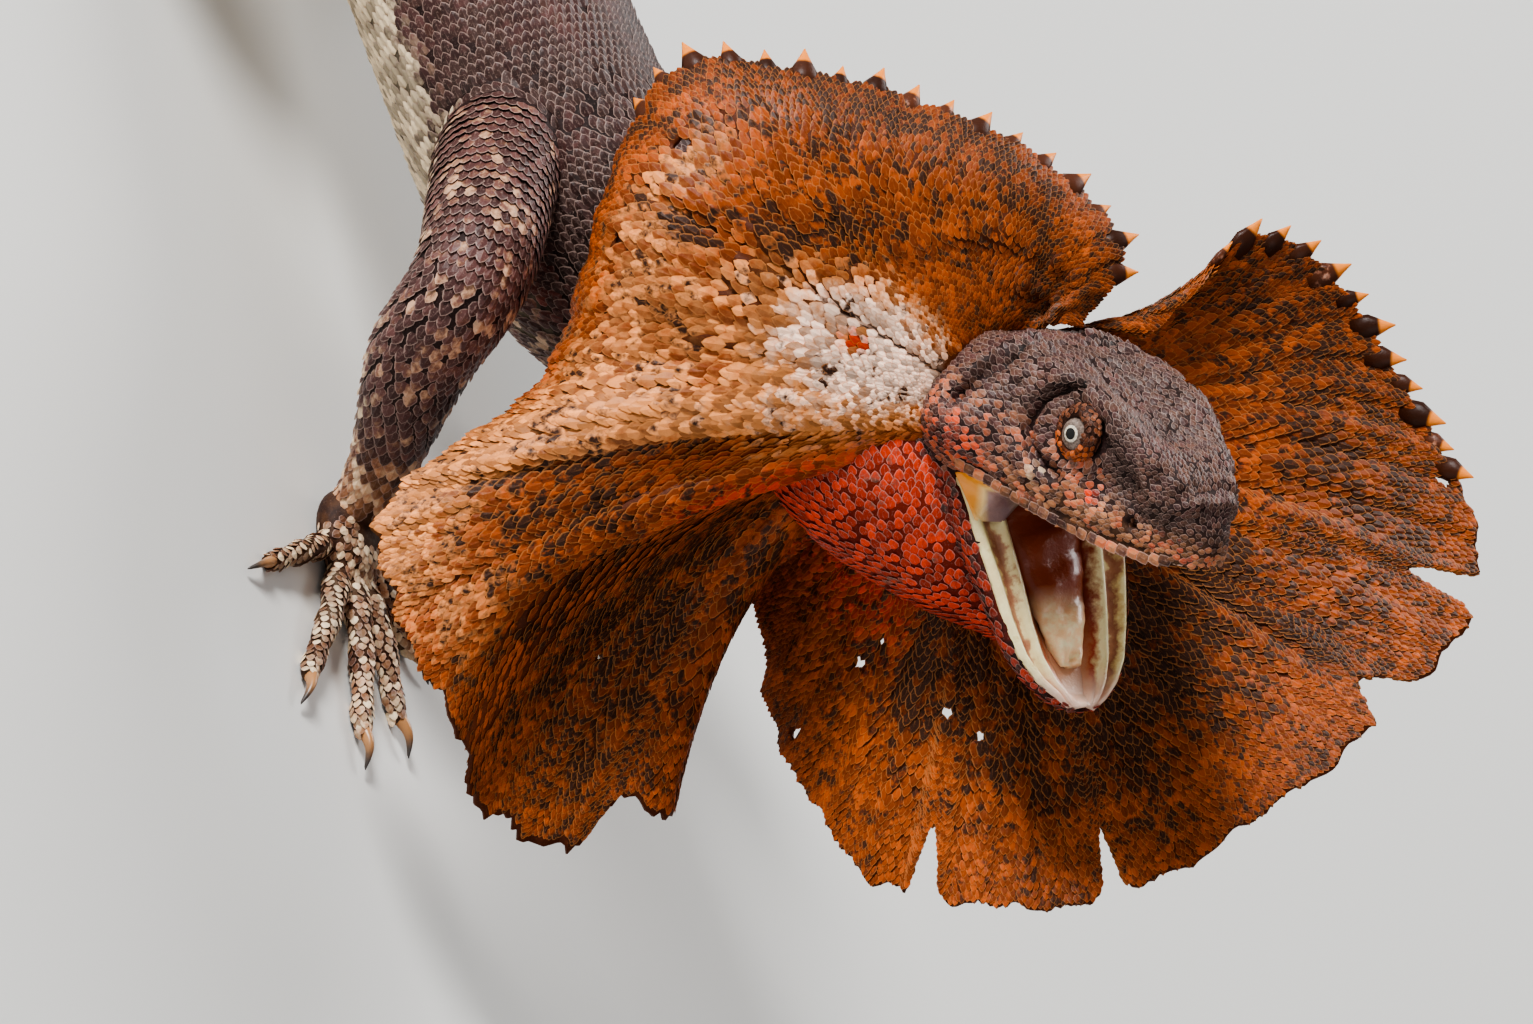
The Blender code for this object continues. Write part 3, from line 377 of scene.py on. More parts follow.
EYE, EYE_SOCKET = (25.6, 10.4, 12.0), 4.6
NOSTRIL, NOSTRIL_RADIUS, NOSTRIL_DEPTH = (40.2, 9.0, 3.2), 1.0, 1.9
EAR, EAR_RADIUS, EAR_DEPTH = (2.6, 20.6, 9.5), 2.7, 2.6
# Swellings and hollows of the head: forward, out and up of the hinge, reach, height.
SWELLINGS = [
    (26.5, 8.6, 16.4, 4.2, 0.8), (8.0, 20.5, 5.0, 7.0, 0.8), (44.6, 5.4, 11.4, 1.9, 0.8),
    (47.2, 3.2, 9.8, 1.8, 0.6), (42.4, 7.4, 8.0, 2.4, 0.5), (33.0, 11.5, 7.0, 4.2, -1.7),
    (38.0, 9.2, 8.6, 3.2, -1.3), (24.0, 0.0, 17.4, 4.6, -0.9), (34.0, 0.0, 15.6, 4.6, -0.8),
    (6.5, 8.0, 18.0, 3.0, 0.8), (12.0, 4.5, 18.4, 3.2, 0.7), (29.0, 5.0, 16.6, 2.4, 0.5),
    (18.0, 6.0, 18.0, 2.6, 0.5), (38.5, 3.5, 14.4, 2.4, 0.5), (15.0, 17.0, 7.0, 3.6, -0.5),
    (44.0, 2.6, 12.4, 1.8, 0.5), (26.5, 13.0, 4.6, 3.0, 0.5), (35.0, 10.6, 1.6, 3.2, 0.5),
    (11.0, 14.0, 16.0, 2.4, 0.7), (14.0, 9.6, 18.4, 2.2, 0.5),
]
# Creases: reach, depth, and the points they run through: behind the eye, behind the crown, along
# the crown, from the eye to the nostril, above the lip's row of scales, over the eye, above the
# ear, and across the crown.
CREASES = [
    (1.0, 2.1, [(22.0, 10.5, 18.6), (17.6, 12.6, 15.6), (16.8, 14.6, 12.0), (17.8, 15.4, 8.4),
                (21.0, 14.8, 5.8), (25.5, 14.0, 5.2)]),
    (1.0, 1.6, [(4.4, 2.0, 19.2), (5.2, 8.0, 18.2), (6.2, 13.6, 16.2), (6.0, 18.0, 12.8), (5.4, 20.4, 10.0)]),
    (0.8, 0.8, [(12.0, 1.4, 18.6), (20.0, 2.4, 17.6), (27.0, 1.6, 16.8), (34.0, 1.0, 15.4)]),
    (0.9, 0.8, [(30.5, 12.2, 10.0), (35.0, 10.4, 8.2), (39.0, 9.0, 6.2), (42.0, 7.8, 4.2)]),
    (0.6, 0.6, [(9.0, 20.2, 0.2), (18.0, 16.2, -0.2), (28.0, 13.4, -0.4), (37.0, 10.2, -0.4),
                (44.0, 7.2, 0.2)]),
    (0.7, 0.7, [(22.0, 12.4, 16.2), (27.5, 11.4, 15.6), (31.5, 10.6, 13.2)]),
    (0.7, 0.7, [(9.0, 17.2, 14.4), (12.5, 16.2, 12.2), (13.6, 17.0, 9.4)]),
    (0.6, 0.6, [(8.5, 4.0, 18.8), (10.5, 10.0, 17.8), (11.5, 14.4, 14.6)]),
]
# Ridges, in the same way: behind the eye's ring, from the brow to the nostril, over the snout's
# end, and along the lip.
RIDGES = [
    (1.3, 0.9, [(17.6, 11.6, 17.2), (14.8, 14.4, 15.0), (14.2, 16.4, 11.4), (15.2, 17.2, 7.4),
                (19.2, 16.0, 3.8), (25.0, 14.4, 3.0)]),
    (1.3, 1.1, [(31.0, 9.6, 15.2), (36.0, 8.8, 12.4), (41.0, 7.4, 9.6), (44.6, 6.0, 7.0)]),
    (1.2, 0.9, [(44.6, 6.0, 7.6), (47.0, 3.4, 9.4), (48.0, 0.0, 10.0)]),
    (0.9, 0.5, [(8.0, 19.6, -1.4), (16.0, 17.2, -1.7), (26.0, 14.4, -2.0), (37.5, 10.4, -2.0),
                (46.0, 6.0, -0.9)]),
]
ridge_paths, crease_paths = ([(reach, amount, beside(side, smooth(path, 10)))
                              for side in (-1.0, 1.0) for reach, amount, path in lines]
                             for lines in (RIDGES, CREASES))


def line_depth(places, paths=crease_paths):
    """How deep the head's creases, or how high its ridges, are at each place, in millimetres."""
    deep = np.zeros(len(places))
    near = np.linalg.norm(places - in_head((22.0, 0.0, 10.0)), axis=1) < 42.0
    for reach, depth, path in paths:
        apart = np.min(np.linalg.norm(places[near][:, None] - path[None], axis=2), axis=1)
        deep[near] = np.maximum(deep[near], depth * np.exp(-(apart / reach) ** 2))
    return deep


def pressed(places, facings):
    for f, s, u, reach, height in SWELLINGS:
        for side in ((-1.0, 1.0) if s else (1.0,)):
            apart = np.linalg.norm(places - beside(side, (f, s, u)), axis=1)
            places = places + facings * (height * np.exp(-(apart / reach) ** 2 * 1.6))[:, None]
    places = places + facings * (line_depth(places, ridge_paths) - line_depth(places))[:, None]
    for hole, reach, depth in ((NOSTRIL, NOSTRIL_RADIUS, NOSTRIL_DEPTH), (EAR, EAR_RADIUS, EAR_DEPTH)):
        for side in (-1.0, 1.0):
            apart = np.linalg.norm(places - beside(side, hole), axis=1)
            places = places - facings * (depth * (1 - ramp(apart, reach * 0.6, reach * 1.25)))[:, None]
    return places


places, facings = places_of(hide.data), facings_of(hide.data)
places = pressed(places, facings)
for side in (-1.0, 1.0):
    apart = np.linalg.norm(places - beside(side, EYE), axis=1)
    sunk = apart < EYE_SOCKET - 0.25
    places[sunk] -= (facings * (EYE_SOCKET - apart)[:, None])[sunk] * 0.9
low = places[:, 2] < COAT_DEPTH
places[low, 2] = COAT_DEPTH
hide.data.vertices.foreach_set("co", to_world(places).reshape(-1))
hide.data.update()
thin_out = hide.modifiers.new("thin_out", "DECIMATE")
thin_out.ratio = HIDE_SHARE
as_made(hide)
hide.data.polygons.foreach_set("use_smooth", [True] * len(hide.data.polygons))

# The hide's markings: charcoal on the head's top, red and orange throat, pale flanks and belly,
# with painted shade along the head's creases. They are worked out from where a place lies on its
# form, the same for the skin and its scales, and kept as four shades: pale, red, dark and tan.
form_names = list(forms)
form_tree = KDTree(sum(rings.shape[0] * rings.shape[1] for rings in forms.values()))
form_index = []
for number, rings in enumerate(forms.values()):
    count, around, _ = rings.shape
    for i in range(count):
        for j in range(around):
            form_tree.insert(rings[i, j], len(form_index))
            form_index.append((number, i / (count - 1), j / around))
form_tree.balance()
form_index = np.array(form_index)


def whereabouts(places):
    """Form number, share along it and share round it of each place."""
    return form_index[[form_tree.find(place)[1] for place in places]]


def kinds_mask(numbers, *starts):
    """Marks the form numbers whose names start in one of these ways."""
    found = [n for n, name in enumerate(form_names) if name.startswith(starts)]
    return np.isin(numbers, found)


def near_to(head, place, reach):
    """1 at a place of the head and its mirror place, and 0 past its reach."""
    f, s, u = place
    apart = np.linalg.norm(np.stack([head[:, 0] - f, np.abs(head[:, 1]) - s, head[:, 2] - u], axis=1), axis=1)
    return 1 - ramp(apart, reach * 0.3, reach)


def markings(places, facings, where=None):
    """Pale, red, dark and tan of places, each from 0 to 1."""
    where = whereabouts(places) if where is None else where
    numbers, along = where[:, 0].astype(int), where[:, 1]
    pale, red = np.zeros(len(places)), np.zeros(len(places))
    dark, tan = np.zeros(len(places)), np.zeros(len(places))
    trunk = kinds_mask(numbers, "trunk")
    below = ramp(-facings[:, 2], -0.1, 0.6)
    pale[trunk] = (below * (0.25 + 0.75 * ramp(along, 0.12, 0.2)))[trunk]
    flank = ramp(facings[:, 2], -0.5, 0.0) * (1 - ramp(facings[:, 2], 0.2, 0.7))
    red[trunk] = ((0.10 + 0.30 * flank) * (1 - ramp(along, 0.1, 0.3)))[trunk]
    bands = 0.5 + 0.5 * np.sin(along * 95.0)
    saddles = 0.5 + 0.5 * np.sin(along * 118.0 + 1.2 * np.sin(where[:, 2] * 25.0))
    back = (1 - below) * (1 - ramp(along, 0.3, 0.45))
    dark[trunk] = (ramp(along, 0.42, 0.5) * bands * 0.9 + (0.50 + 0.26 * saddles) * back)[trunk]
    lighter = 0.26 * (1 - saddles) * back * ramp(along, 0.12, 0.2)
    tan[trunk] = (ramp(along, 0.42, 0.55) * (1 - bands) * 0.8 + lighter)[trunk]
    legs = kinds_mask(numbers, "arm", "leg")
    digits = legs & np.array(["toe" in form_names[n] for n in numbers])
    pale[legs] = (0.09 + 0.28 * ramp(-facings[:, 2], 0.2, 0.9) + 0.20 * ramp(along, 0.7, 1.0))[legs]
    tan[legs] = (0.20 + 0.60 * ramp(along, 0.75, 1.0))[legs]
    tan[digits], pale[digits], dark[digits] = 0.80, 0.46, 0.0
    head = on_head(places)
    skull = kinds_mask(numbers, "skull")
    top = np.maximum(ramp(head[:, 2], 8.0, 13.0), ramp(head[:, 0], 30.0, 40.0) * ramp(head[:, 2], 2.0, 6.0))
    # painted shade: the skull is darkened along its creases
    crease_shade = line_depth(places)
    before_eye = near_to(head, (34.0, 9.5, 11.0), 6.0)
    side_on = ramp(head[:, 0], 24.0, 32.0) * (1 - ramp(head[:, 2], 7.0, 12.0))
    dark[skull] = np.clip(0.08 + 0.40 * top + 0.5 * crease_shade + 0.3 * before_eye + 0.14 * side_on, 0, 1)[skull]
    cheek = np.exp(-((head[:, 0] - 6.5) / 6.0) ** 2 - ((head[:, 2] - 3.0) / 3.6) ** 2)
    spot = near_to(head, (32.5, 11.8, 5.0), 2.4)
    red[skull] = np.clip(0.42 * cheek + 0.85 * spot + 0.18 * (1 - top) + 0.10 * side_on, 0, 1)[skull]
    low = ramp(head[:, 0], 12.0, 22.0) * ramp(-head[:, 2], -7.0, 0.0)
    tan[skull] = np.clip(0.34 + 0.36 * low + 0.16 * cheek + 0.14 * side_on, 0, 1)[skull]
    below_eye, by_ear = near_to(head, (22.3, 14.6, 3.4), 3.2), near_to(head, (2.6, 20.0, 9.5), 2.6)
    pale[skull] = 0.5 * (below_eye + by_ear)[skull]
    jaw = kinds_mask(numbers, "jaw")
    red[jaw], dark[jaw] = 0.62, 0.42
    throat = kinds_mask(numbers, "pouch")
    red[throat], dark[throat] = 1.0, 0.22
    return np.clip(np.stack([pale, red, dark, tan], axis=1), 0, 1)


SHADES = ("pale", "red", "dark", "tan")


def keep_value(mesh, name, values):
    kept = mesh.attributes.new(name, "FLOAT", "POINT")
    kept.data.foreach_set("value", np.ascontiguousarray(values, np.float32))


def keep_shades(mesh, values):
    for number, name in enumerate(SHADES):
        keep_value(mesh, name, values[:, number])


keep_shades(hide.data, markings(places_of(hide.data), facings_of(hide.data)))
hide_tree = BVHTree.FromPolygons([Vector(p) for p in places_of(hide.data)],
                                 [tuple(face.vertices) for face in hide.data.polygons])


def node_group(name, inputs, outputs):
    group = bpy.data.node_groups.new(name, "ShaderNodeTree")
    for label, kind, value in inputs:
        made = group.interface.new_socket(name=label, in_out="INPUT", socket_type=kind)
        made.default_value = value
    for label, kind in outputs:
        group.interface.new_socket(name=label, in_out="OUTPUT", socket_type=kind)
    return group


def placed(tree, kind, **settings):
    """A node, with its properties by name, and its inputs by name where they start with in_."""
    node = tree.nodes.new(kind)
    for key, value in settings.items():
        if key.startswith("in_"):
            node.inputs[key[3:].replace("_", " ")].default_value = value
        else:
            setattr(node, key, value)
    return node


def feed(tree, sockets, values):
    """Gives each socket its value, or links it where the value is another node's socket."""
    for socket, value in zip(sockets, values):
        if isinstance(value, bpy.types.NodeSocket):
            tree.links.new(value, socket)
        else:
            socket.default_value = value


def mixed(tree, share, a, b, blend="MIX"):
    """A colour mix of sockets or colours."""
    node = placed(tree, "ShaderNodeMix", data_type="RGBA", blend_type=blend)
    feed(tree, (node.inputs[0], node.inputs[6], node.inputs[7]), (share, a, b))
    return node.outputs[2]


def sum_of(tree, a, b, operation="ADD"):
    node = placed(tree, "ShaderNodeMath", operation=operation)
    feed(tree, node.inputs, (a, b))
    return node.outputs[0]


def stretched(tree, value, low, high, to_low=0.0, to_high=1.0):
    node = placed(tree, "ShaderNodeMapRange", interpolation_type="SMOOTHSTEP", clamp=True)
    feed(tree, node.inputs, (value, low, high, to_low, to_high))
    return node.outputs[0]


def speckle(tree, size, detail, rough=0.6):
    """Noise on the object's own coordinates, size in millimetres."""
    place = placed(tree, "ShaderNodeTexCoord")
    noise = placed(tree, "ShaderNodeTexNoise", in_Scale=1.0 / (size * MM), in_Detail=detail,
                   in_Roughness=rough)
    tree.links.new(place.outputs["Object"], noise.inputs["Vector"])
    return noise.outputs["Fac"]


def attribute(tree, name):
    return placed(tree, "ShaderNodeAttribute", attribute_name=name).outputs["Fac"]


def grey_of(tree, value):
    """A grey as light as a value, for multiplying a colour."""
    grey = placed(tree, "ShaderNodeCombineColor")
    feed(tree, grey.inputs, (value, value, value))
    return grey.outputs[0]


def new_finish(name, **inputs):
    """A material, its node tree and its shader, with the shader's inputs by name."""
    made = bpy.data.materials.new(name)
    made.use_nodes = True
    shader = made.node_tree.nodes["Principled BSDF"]
    for label, value in inputs.items():
        shader.inputs[label.replace("_", " ")].default_value = value
    return made, made.node_tree, shader


def grained(tree, shader, height, strength, distance):
    """Gives a shader a relief, its distance in millimetres."""
    bump = placed(tree, "ShaderNodeBump", in_Strength=strength, in_Distance=distance * MM)
    tree.links.new(height, bump.inputs["Height"])
    tree.links.new(bump.outputs["Normal"], shader.inputs["Normal"])


def marked_colours():
    """Ground colour broken by the four shades, with blotches, scale tints, thin edges and a painted highlight
    along the keels.
    """
    brown = (0.1, 0.04, 0.03, 1)
    inputs = [(label, "NodeSocketColor", brown)
              for label in ("Ground", "Blotch", "Pale", "Red", "Dark", "Tan", "Edge")]
    inputs += [(label, "NodeSocketFloat", 0.5)
               for label in ("Blotches", "Edging", "Flecks", "Wander", "Mottle")]
    group = node_group("marked_colours", inputs,
                       [("Colour", "NodeSocketColor"), ("Relief", "NodeSocketFloat")])
    given = group.nodes.new("NodeGroupInput").outputs
    big, small, fine = speckle(group, 7.0, 2.0), speckle(group, 1.7, 3.0), speckle(group, 0.35, 2.0)
    tint = attribute(group, "tint")
    worn = sum_of(group, sum_of(group, small, big, "ADD"), 1.0, "SUBTRACT")
    worn = sum_of(group, worn, sum_of(group, sum_of(group, tint, 0.5, "SUBTRACT"), 0.50, "MULTIPLY"), "ADD")
    blotch = sum_of(group, stretched(group, worn, 0.0, 0.30), given["Blotches"], "MULTIPLY")
    colour = mixed(group, blotch, given["Ground"], given["Blotch"])
    for name, label in zip(("tan", "red", "pale", "dark"), ("Tan", "Red", "Pale", "Dark")):
        wander = given["Mottle" if name == "dark" else "Wander"]
        share = sum_of(group, attribute(group, name), sum_of(group, worn, wander, "MULTIPLY"), "ADD")
        colour = mixed(group, stretched(group, share, 0.22, 0.78), colour, given[label])
    light = stretched(group, tint, 0.0, 1.0, 0.50, 1.50)
    colour = mixed(group, 1.0, colour, grey_of(group, light), "MULTIPLY")
    brim = attribute(group, "edge")
    edge = sum_of(group, stretched(group, brim, 0.74, 0.98), given["Edging"], "MULTIPLY")
    colour = mixed(group, edge, colour, given["Edge"])
    # painted highlight: the Edge colour laid along each scale's keel, where its ridge would catch the light
    keel = sum_of(group, stretched(group, brim, 0.20, 0.02, 0.0, 0.35), given["Edging"], "MULTIPLY")
    colour = mixed(group, keel, colour, given["Edge"])
    fleck = sum_of(group, stretched(group, fine, 0.56, 0.70), given["Flecks"], "MULTIPLY")
    colour = mixed(group, fleck, colour, given["Edge"])
    out = group.nodes.new("NodeGroupOutput")
    group.links.new(colour, out.inputs["Colour"])
    group.links.new(fine, out.inputs["Relief"])
    return group


MARKED = marked_colours()


def scaly(name, colours, blotches=0.5, edging=0.5, roughness=0.5, flecks=0.2, wander=0.9, mottle=0.9,
          shine=0.16):
    """A scaly finish: the marked colours with their own palette, a satin sheen and a fine grain.

    Wander and mottle are how far noise moves the borders of the light shades and of the dark one.
    """
    made, tree, shader = new_finish(name, Roughness=roughness, Specular_IOR_Level=shine)
    marks = placed(tree, "ShaderNodeGroup", node_tree=MARKED)
    for label, value in colours.items():
        marks.inputs[label].default_value = (*value, 1.0)
    for label, value in (("Blotches", blotches), ("Edging", edging), ("Flecks", flecks), ("Wander", wander),
                         ("Mottle", mottle)):
        marks.inputs[label].default_value = value
    grained(tree, shader, marks.outputs["Relief"], 0.12, 0.3)
    tree.links.new(marks.outputs["Colour"], shader.inputs["Base Color"])
    return made


HIDE_COLOURS = {"Ground": (0.092, 0.038, 0.034), "Blotch": (0.024, 0.011, 0.011), "Pale": (0.60, 0.48, 0.32),
                "Red": (0.56, 0.036, 0.005), "Dark": (0.034, 0.017, 0.014), "Tan": (0.36, 0.155, 0.070),
                "Edge": (0.47, 0.33, 0.28)}


def darker(colours, share=0.45):
    """A palette as it shows between the scales, in their shade."""
    return {label: tuple(share * part for part in colour) for label, colour in colours.items()}


under_scales = scaly("hide_between_scales", darker(HIDE_COLOURS), 0.4, 0.0, 0.6)
hide.data.materials.clear()
hide.data.materials.append(under_scales)
FLESH = ["head", "lower_jaw", "throat", "neck", "torso", "pelvis", "tail_1", "tail_2", "tail_3", "tail_4"]
FLESH += [f"{side}_{part}" for side in ("right", "left")
          for part in ("upper_arm", "forearm", "hand", "thigh", "shin", "foot")]
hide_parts(*FLESH)
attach(hide, "root")

# The eyes: wet balls with a black pupil, a cream ring and a mottled grey iris, each in a ring of
# swollen lids, the upper one brown and broad, the lower one beaded and orange.
PUPIL, RING = 0.95, 1.35                                # radii of the pupil and of the cream ring round it
EYE_SPREAD = 5.0                                        # radius that the colours' band reaches to
EYE_RADIUS = 4.0
LID_OPEN, LID_END = 30.5, 80.0                          # degrees off the eye's outward line


def eye_axes(side):
    """The eye's outward line, its line toward the snout and its line up."""
    out = unit(SKULL_AXES[1] * side + SKULL_AXES[0] * 0.22 + SKULL_AXES[2] * 0.12)
    along = unit(SKULL_AXES[0] - out * float(SKULL_AXES[0] @ out))
    return np.array([out, along, np.cross(along, out) * side])


def eye_ball(side):
    """Points and faces of a ball, and how far each point is from its outward line."""
    axes, centre = eye_axes(side), beside(side, EYE)
    points, faces = ball(centre, (EYE_RADIUS,) * 3, axes, 40, 48)
    away = points - centre
    inner_half = away @ axes[0] < 0
    return points, faces, np.linalg.norm(away @ axes[1:].T, axis=1) + 9.0 * inner_half


def banded(tree, value, stops):
    """A colour ramp node with its stops, read by a value."""
    node = placed(tree, "ShaderNodeValToRGB")
    elements = node.color_ramp.elements
    for element, (place, colour) in ((elements[0], stops[0]), (elements[1], stops[-1])):
        element.position, element.color = place, (*colour, 1)
    for place, colour in stops[1:-1]:
        elements.new(place).color = (*colour, 1)
    tree.links.new(value, node.inputs[0])
    return node.outputs[0]


def eye_finish():
    made, tree, shader = new_finish("eye_wet", Roughness=0.12, Specular_IOR_Level=0.3, Coat_Weight=0.12,
                                    Coat_Roughness=0.02)
    black, cream = (0.004, 0.004, 0.004), (0.62, 0.55, 0.44)
    spread = sum_of(tree, attribute(tree, "spread"), 1 / EYE_SPREAD, "MULTIPLY")
    rings = banded(tree, spread, [
        (0.0, black), (PUPIL / EYE_SPREAD - 0.006, black), (PUPIL / EYE_SPREAD, cream),
        (RING / EYE_SPREAD - 0.01, cream), (RING / EYE_SPREAD + 0.01, (0.15, 0.11, 0.09)),
        (0.42, (0.23, 0.17, 0.14)), (0.50, (0.16, 0.12, 0.10)), (0.53, (0.02, 0.016, 0.015))])
    mottle = stretched(tree, speckle(tree, 0.35, 3.0), 0.3, 0.7, 0.55, 1.3)
    tree.links.new(mixed(tree, 1.0, rings, grey_of(tree, mottle), "MULTIPLY"), shader.inputs["Base Color"])
    return made


wet_eye = eye_finish()
for name, side in (("eye_right", -1.0), ("eye_left", 1.0)):
    points, faces, spread = eye_ball(side)
    eye = mesh_object(f"{name}_wet", to_world(points), faces)
    facing_out(eye)
    keep_value(eye.data, "spread", spread)
    eye.data.materials.append(wet_eye)
    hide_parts(name)
    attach(eye, "root")


def lid_shape(side):
    """A lid ring as rings round the eye's outward line, from the opening out under the brow."""
    axes, centre = eye_axes(side), beside(side, EYE)
    turns = np.arange(96) * 2 * math.pi / 96
    upper = ramp(np.sin(turns + 0.25), -0.25, 0.55)
    rings = []
    for share in np.linspace(-0.1, 1.0, 26):
        past = max(share, 0.0)
        start = math.radians(LID_OPEN) * (1.0 + 0.36 * np.sin(turns) ** 2)
        polar = start + (math.radians(LID_END) - start) * past
        swell = 0.35 + 0.60 * math.sin(math.pi * past ** 0.7) * (0.45 + 0.75 * upper)
        wrinkles = 0.05 * np.sin(past * 30.0 + 0.6 * np.sin(turns * 5)) * (past > 0.25)
        beads = 0.14 * np.maximum(np.sin(turns * 26), 0) * math.exp(-((past - 0.12) / 0.09) ** 2)
        radius = EYE_RADIUS + (0.06 if share < 0 else swell + wrinkles + beads) - 1.2 * ramp(share, 0.75, 1.0)
        tall = 1.0 + 0.20 * np.sin(turns) ** 2 * ramp(share, 0.3, 1.0)
        ring = (np.cos(polar)[:, None] * axes[0] + (np.sin(polar) * np.cos(turns))[:, None] * axes[1]
                + (np.sin(polar) * np.sin(turns) * tall)[:, None] * axes[2])
        rings.append(centre + ring * np.reshape(radius, (-1, 1) if np.ndim(radius) else ()))
    rings += [centre + (ring - centre) * 0.93 for ring in rings[::-1][::6]]
    return np.array(rings), np.tile(upper, len(rings))


lid_shapes, lid_uppers = [], []
for side in (-1.0, 1.0):
    rings, uppers = lid_shape(side)
    count, around, _ = rings.shape
    faces = [(i * around + j, i * around + (j + 1) % around, (i + 1) % count * around + (j + 1) % around,
              (i + 1) % count * around + j) for i in range(count) for j in range(around)]
    lid_shapes.append((rings.reshape(-1, 3), faces))
    lid_uppers.append(uppers)
lids = joined("eyelids", lid_shapes)
facing_out(lids)
upper = np.concatenate(lid_uppers)
keep_shades(lids.data, np.stack([0 * upper, 0.75 * (1 - upper), 0.35 + 0.1 * upper, 0.45 * upper], axis=1))
LID_COLOURS = {**HIDE_COLOURS, "Ground": (0.11, 0.034, 0.016), "Red": (0.50, 0.11, 0.022),
               "Tan": (0.22, 0.066, 0.022)}
lids.data.materials.append(scaly("lid_skin", darker(LID_COLOURS, 0.6), 0.6, 0.0, 0.55))
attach(lids, "root")

# The mouth: a moist lining over the jaw's trough, with a cream lip, a brown groove and a pale gum
# ridge on each side, a gullet, orange folds of skin at the corners, and a peach tongue. The back of
# the lining, the gullet and the tongue's root are darkened as painted shade.
TONGUE = [(8.0, 8.0, 2.5), (17.0, 7.4, 2.9), (27.0, 5.4, 2.7), (34.0, 3.7, 2.2), (39.0, 1.8, 1.3)]
TONGUE_HEIGHT = -2.9
MOUTH_LENGTH, LINING_END, LINING_THICK = 45.0, 46.6, 0.5
GUM_RIDGE = 0.68                                        # share of the way from the middle to the lip
LINING_PLACES = ((0, 0.5, 0.62, 0.76, 0.88, 1.0), (0, 0.42, 0.56, 0.72, 0.88, 1.0))
LINING_CORNERS = (0, 0.35, 0.5, 0.6, GUM_RIDGE, 0.76, 0.84, 0.93, 1.0)
skull_table, jaw_table = np.array(SKULL), np.array(JAW)


def read_row(table, forward, column):
    """A column of the skull's or the jaw's table, read at places forward of the hinge."""
    return np.interp(forward, table[:, 0], table[:, column])


def section(forward, side, up, axes=SKULL_AXES):
    """Points of one section across the head or the jaw."""
    return in_head(np.stack([np.full(len(side), forward), side, np.full(len(side), up)], axis=1), axes)


def waviness(along, across):
    """A slow waviness, so that no band runs ruler-straight."""
    slow = np.sin(along * 7.0 + 1.0) * np.cos(across * 5.0 + 2.0)
    return slow + 0.5 * np.sin(along * 17.0 + across * 9.0 + 1.0)


def lining():
    """A sheet over the lower jaw, from lip to lip, with how far across and along each point is."""
    across = np.linspace(-1.0, 1.0, 97)
    size = np.abs(across)
    points, marks = [], []
    for forward in np.linspace(0.0, LINING_END, 90):
        lip, lip_up, floor = (float(read_row(jaw_table, forward, column)) for column in (1, 2, 7))
        far = forward / MOUTH_LENGTH
        wave = waviness(far, np.sign(across))
        side = np.sign(across) * (lip - 0.1) * np.interp(size, *LINING_PLACES)
        # the floor, the gum's ridge, the groove outside it and the lip's rounded edge
        height = np.interp(size, LINING_CORNERS,
                           (floor + 0.4, floor + 0.4, floor + 1.6, lip_up - 0.8, lip_up + 0.25, lip_up - 1.3,
                            lip_up - 0.9, lip_up + 0.4, lip_up - 0.8))
        ridge = (0.5 + 0.25 * wave) * np.exp(-((size - GUM_RIDGE) / 0.05) ** 2)
        height = height + 0.25 * ridge + 0.12 * wave * (size > 0.5)
        closing = ramp(forward, LINING_END - 3.1, LINING_END)
        height = height * (1 - closing) + (lip_up + 0.2 - 1.6 * size * closing) * closing
        points.append(section(forward, side, height, JAW_AXES))
        marks.append(np.stack([size + 0.025 * wave, np.full(len(size), far)], axis=1))
    return np.array(points), np.array(marks)


def palate():
    """The roof of the mouth, a sheet from lip to lip, marked in the same way."""
    across = np.linspace(-1.0, 1.0, 49)
    size = np.abs(across)
    points, marks = [], []
    for forward in np.linspace(4.0, 47.0, 60):
        lip, lip_up, roof = (float(read_row(skull_table, forward, column)) for column in (1, 2, 8))
        height = np.interp(size, (0, 0.6, 0.8, 0.9, 1.0),
                           (roof - 0.5, roof - 0.7, lip_up + 0.5, lip_up + 0.9, lip_up + 2.0))
        points.append(section(forward, across * max(lip - 2.2, 0.3), height))
        marks.append(np.stack([0.30 + 0.42 * size, np.full(len(size), forward / MOUTH_LENGTH)], axis=1))
    return np.array(points), np.array(marks)


def gullet():
    """The back of the mouth, a curtain from the palate down to the tongue's root, dark with painted shade."""
    across = np.linspace(-1.0, 1.0, 25)
    top, foot = section(9.0, across * 16.5, 0.6), section(9.0, across * 15.5, -2.4, JAW_AXES)
    down = np.linspace(0.0, 1.0, 14)[:, None, None]
    back = unit(SKULL_AXES[0] + JAW_AXES[0]) * -5.0 * 4 * down * (1 - down)
    return top * (1 - down) + foot * down + back, np.tile([0.05, 0.0], (len(down), len(across), 1))


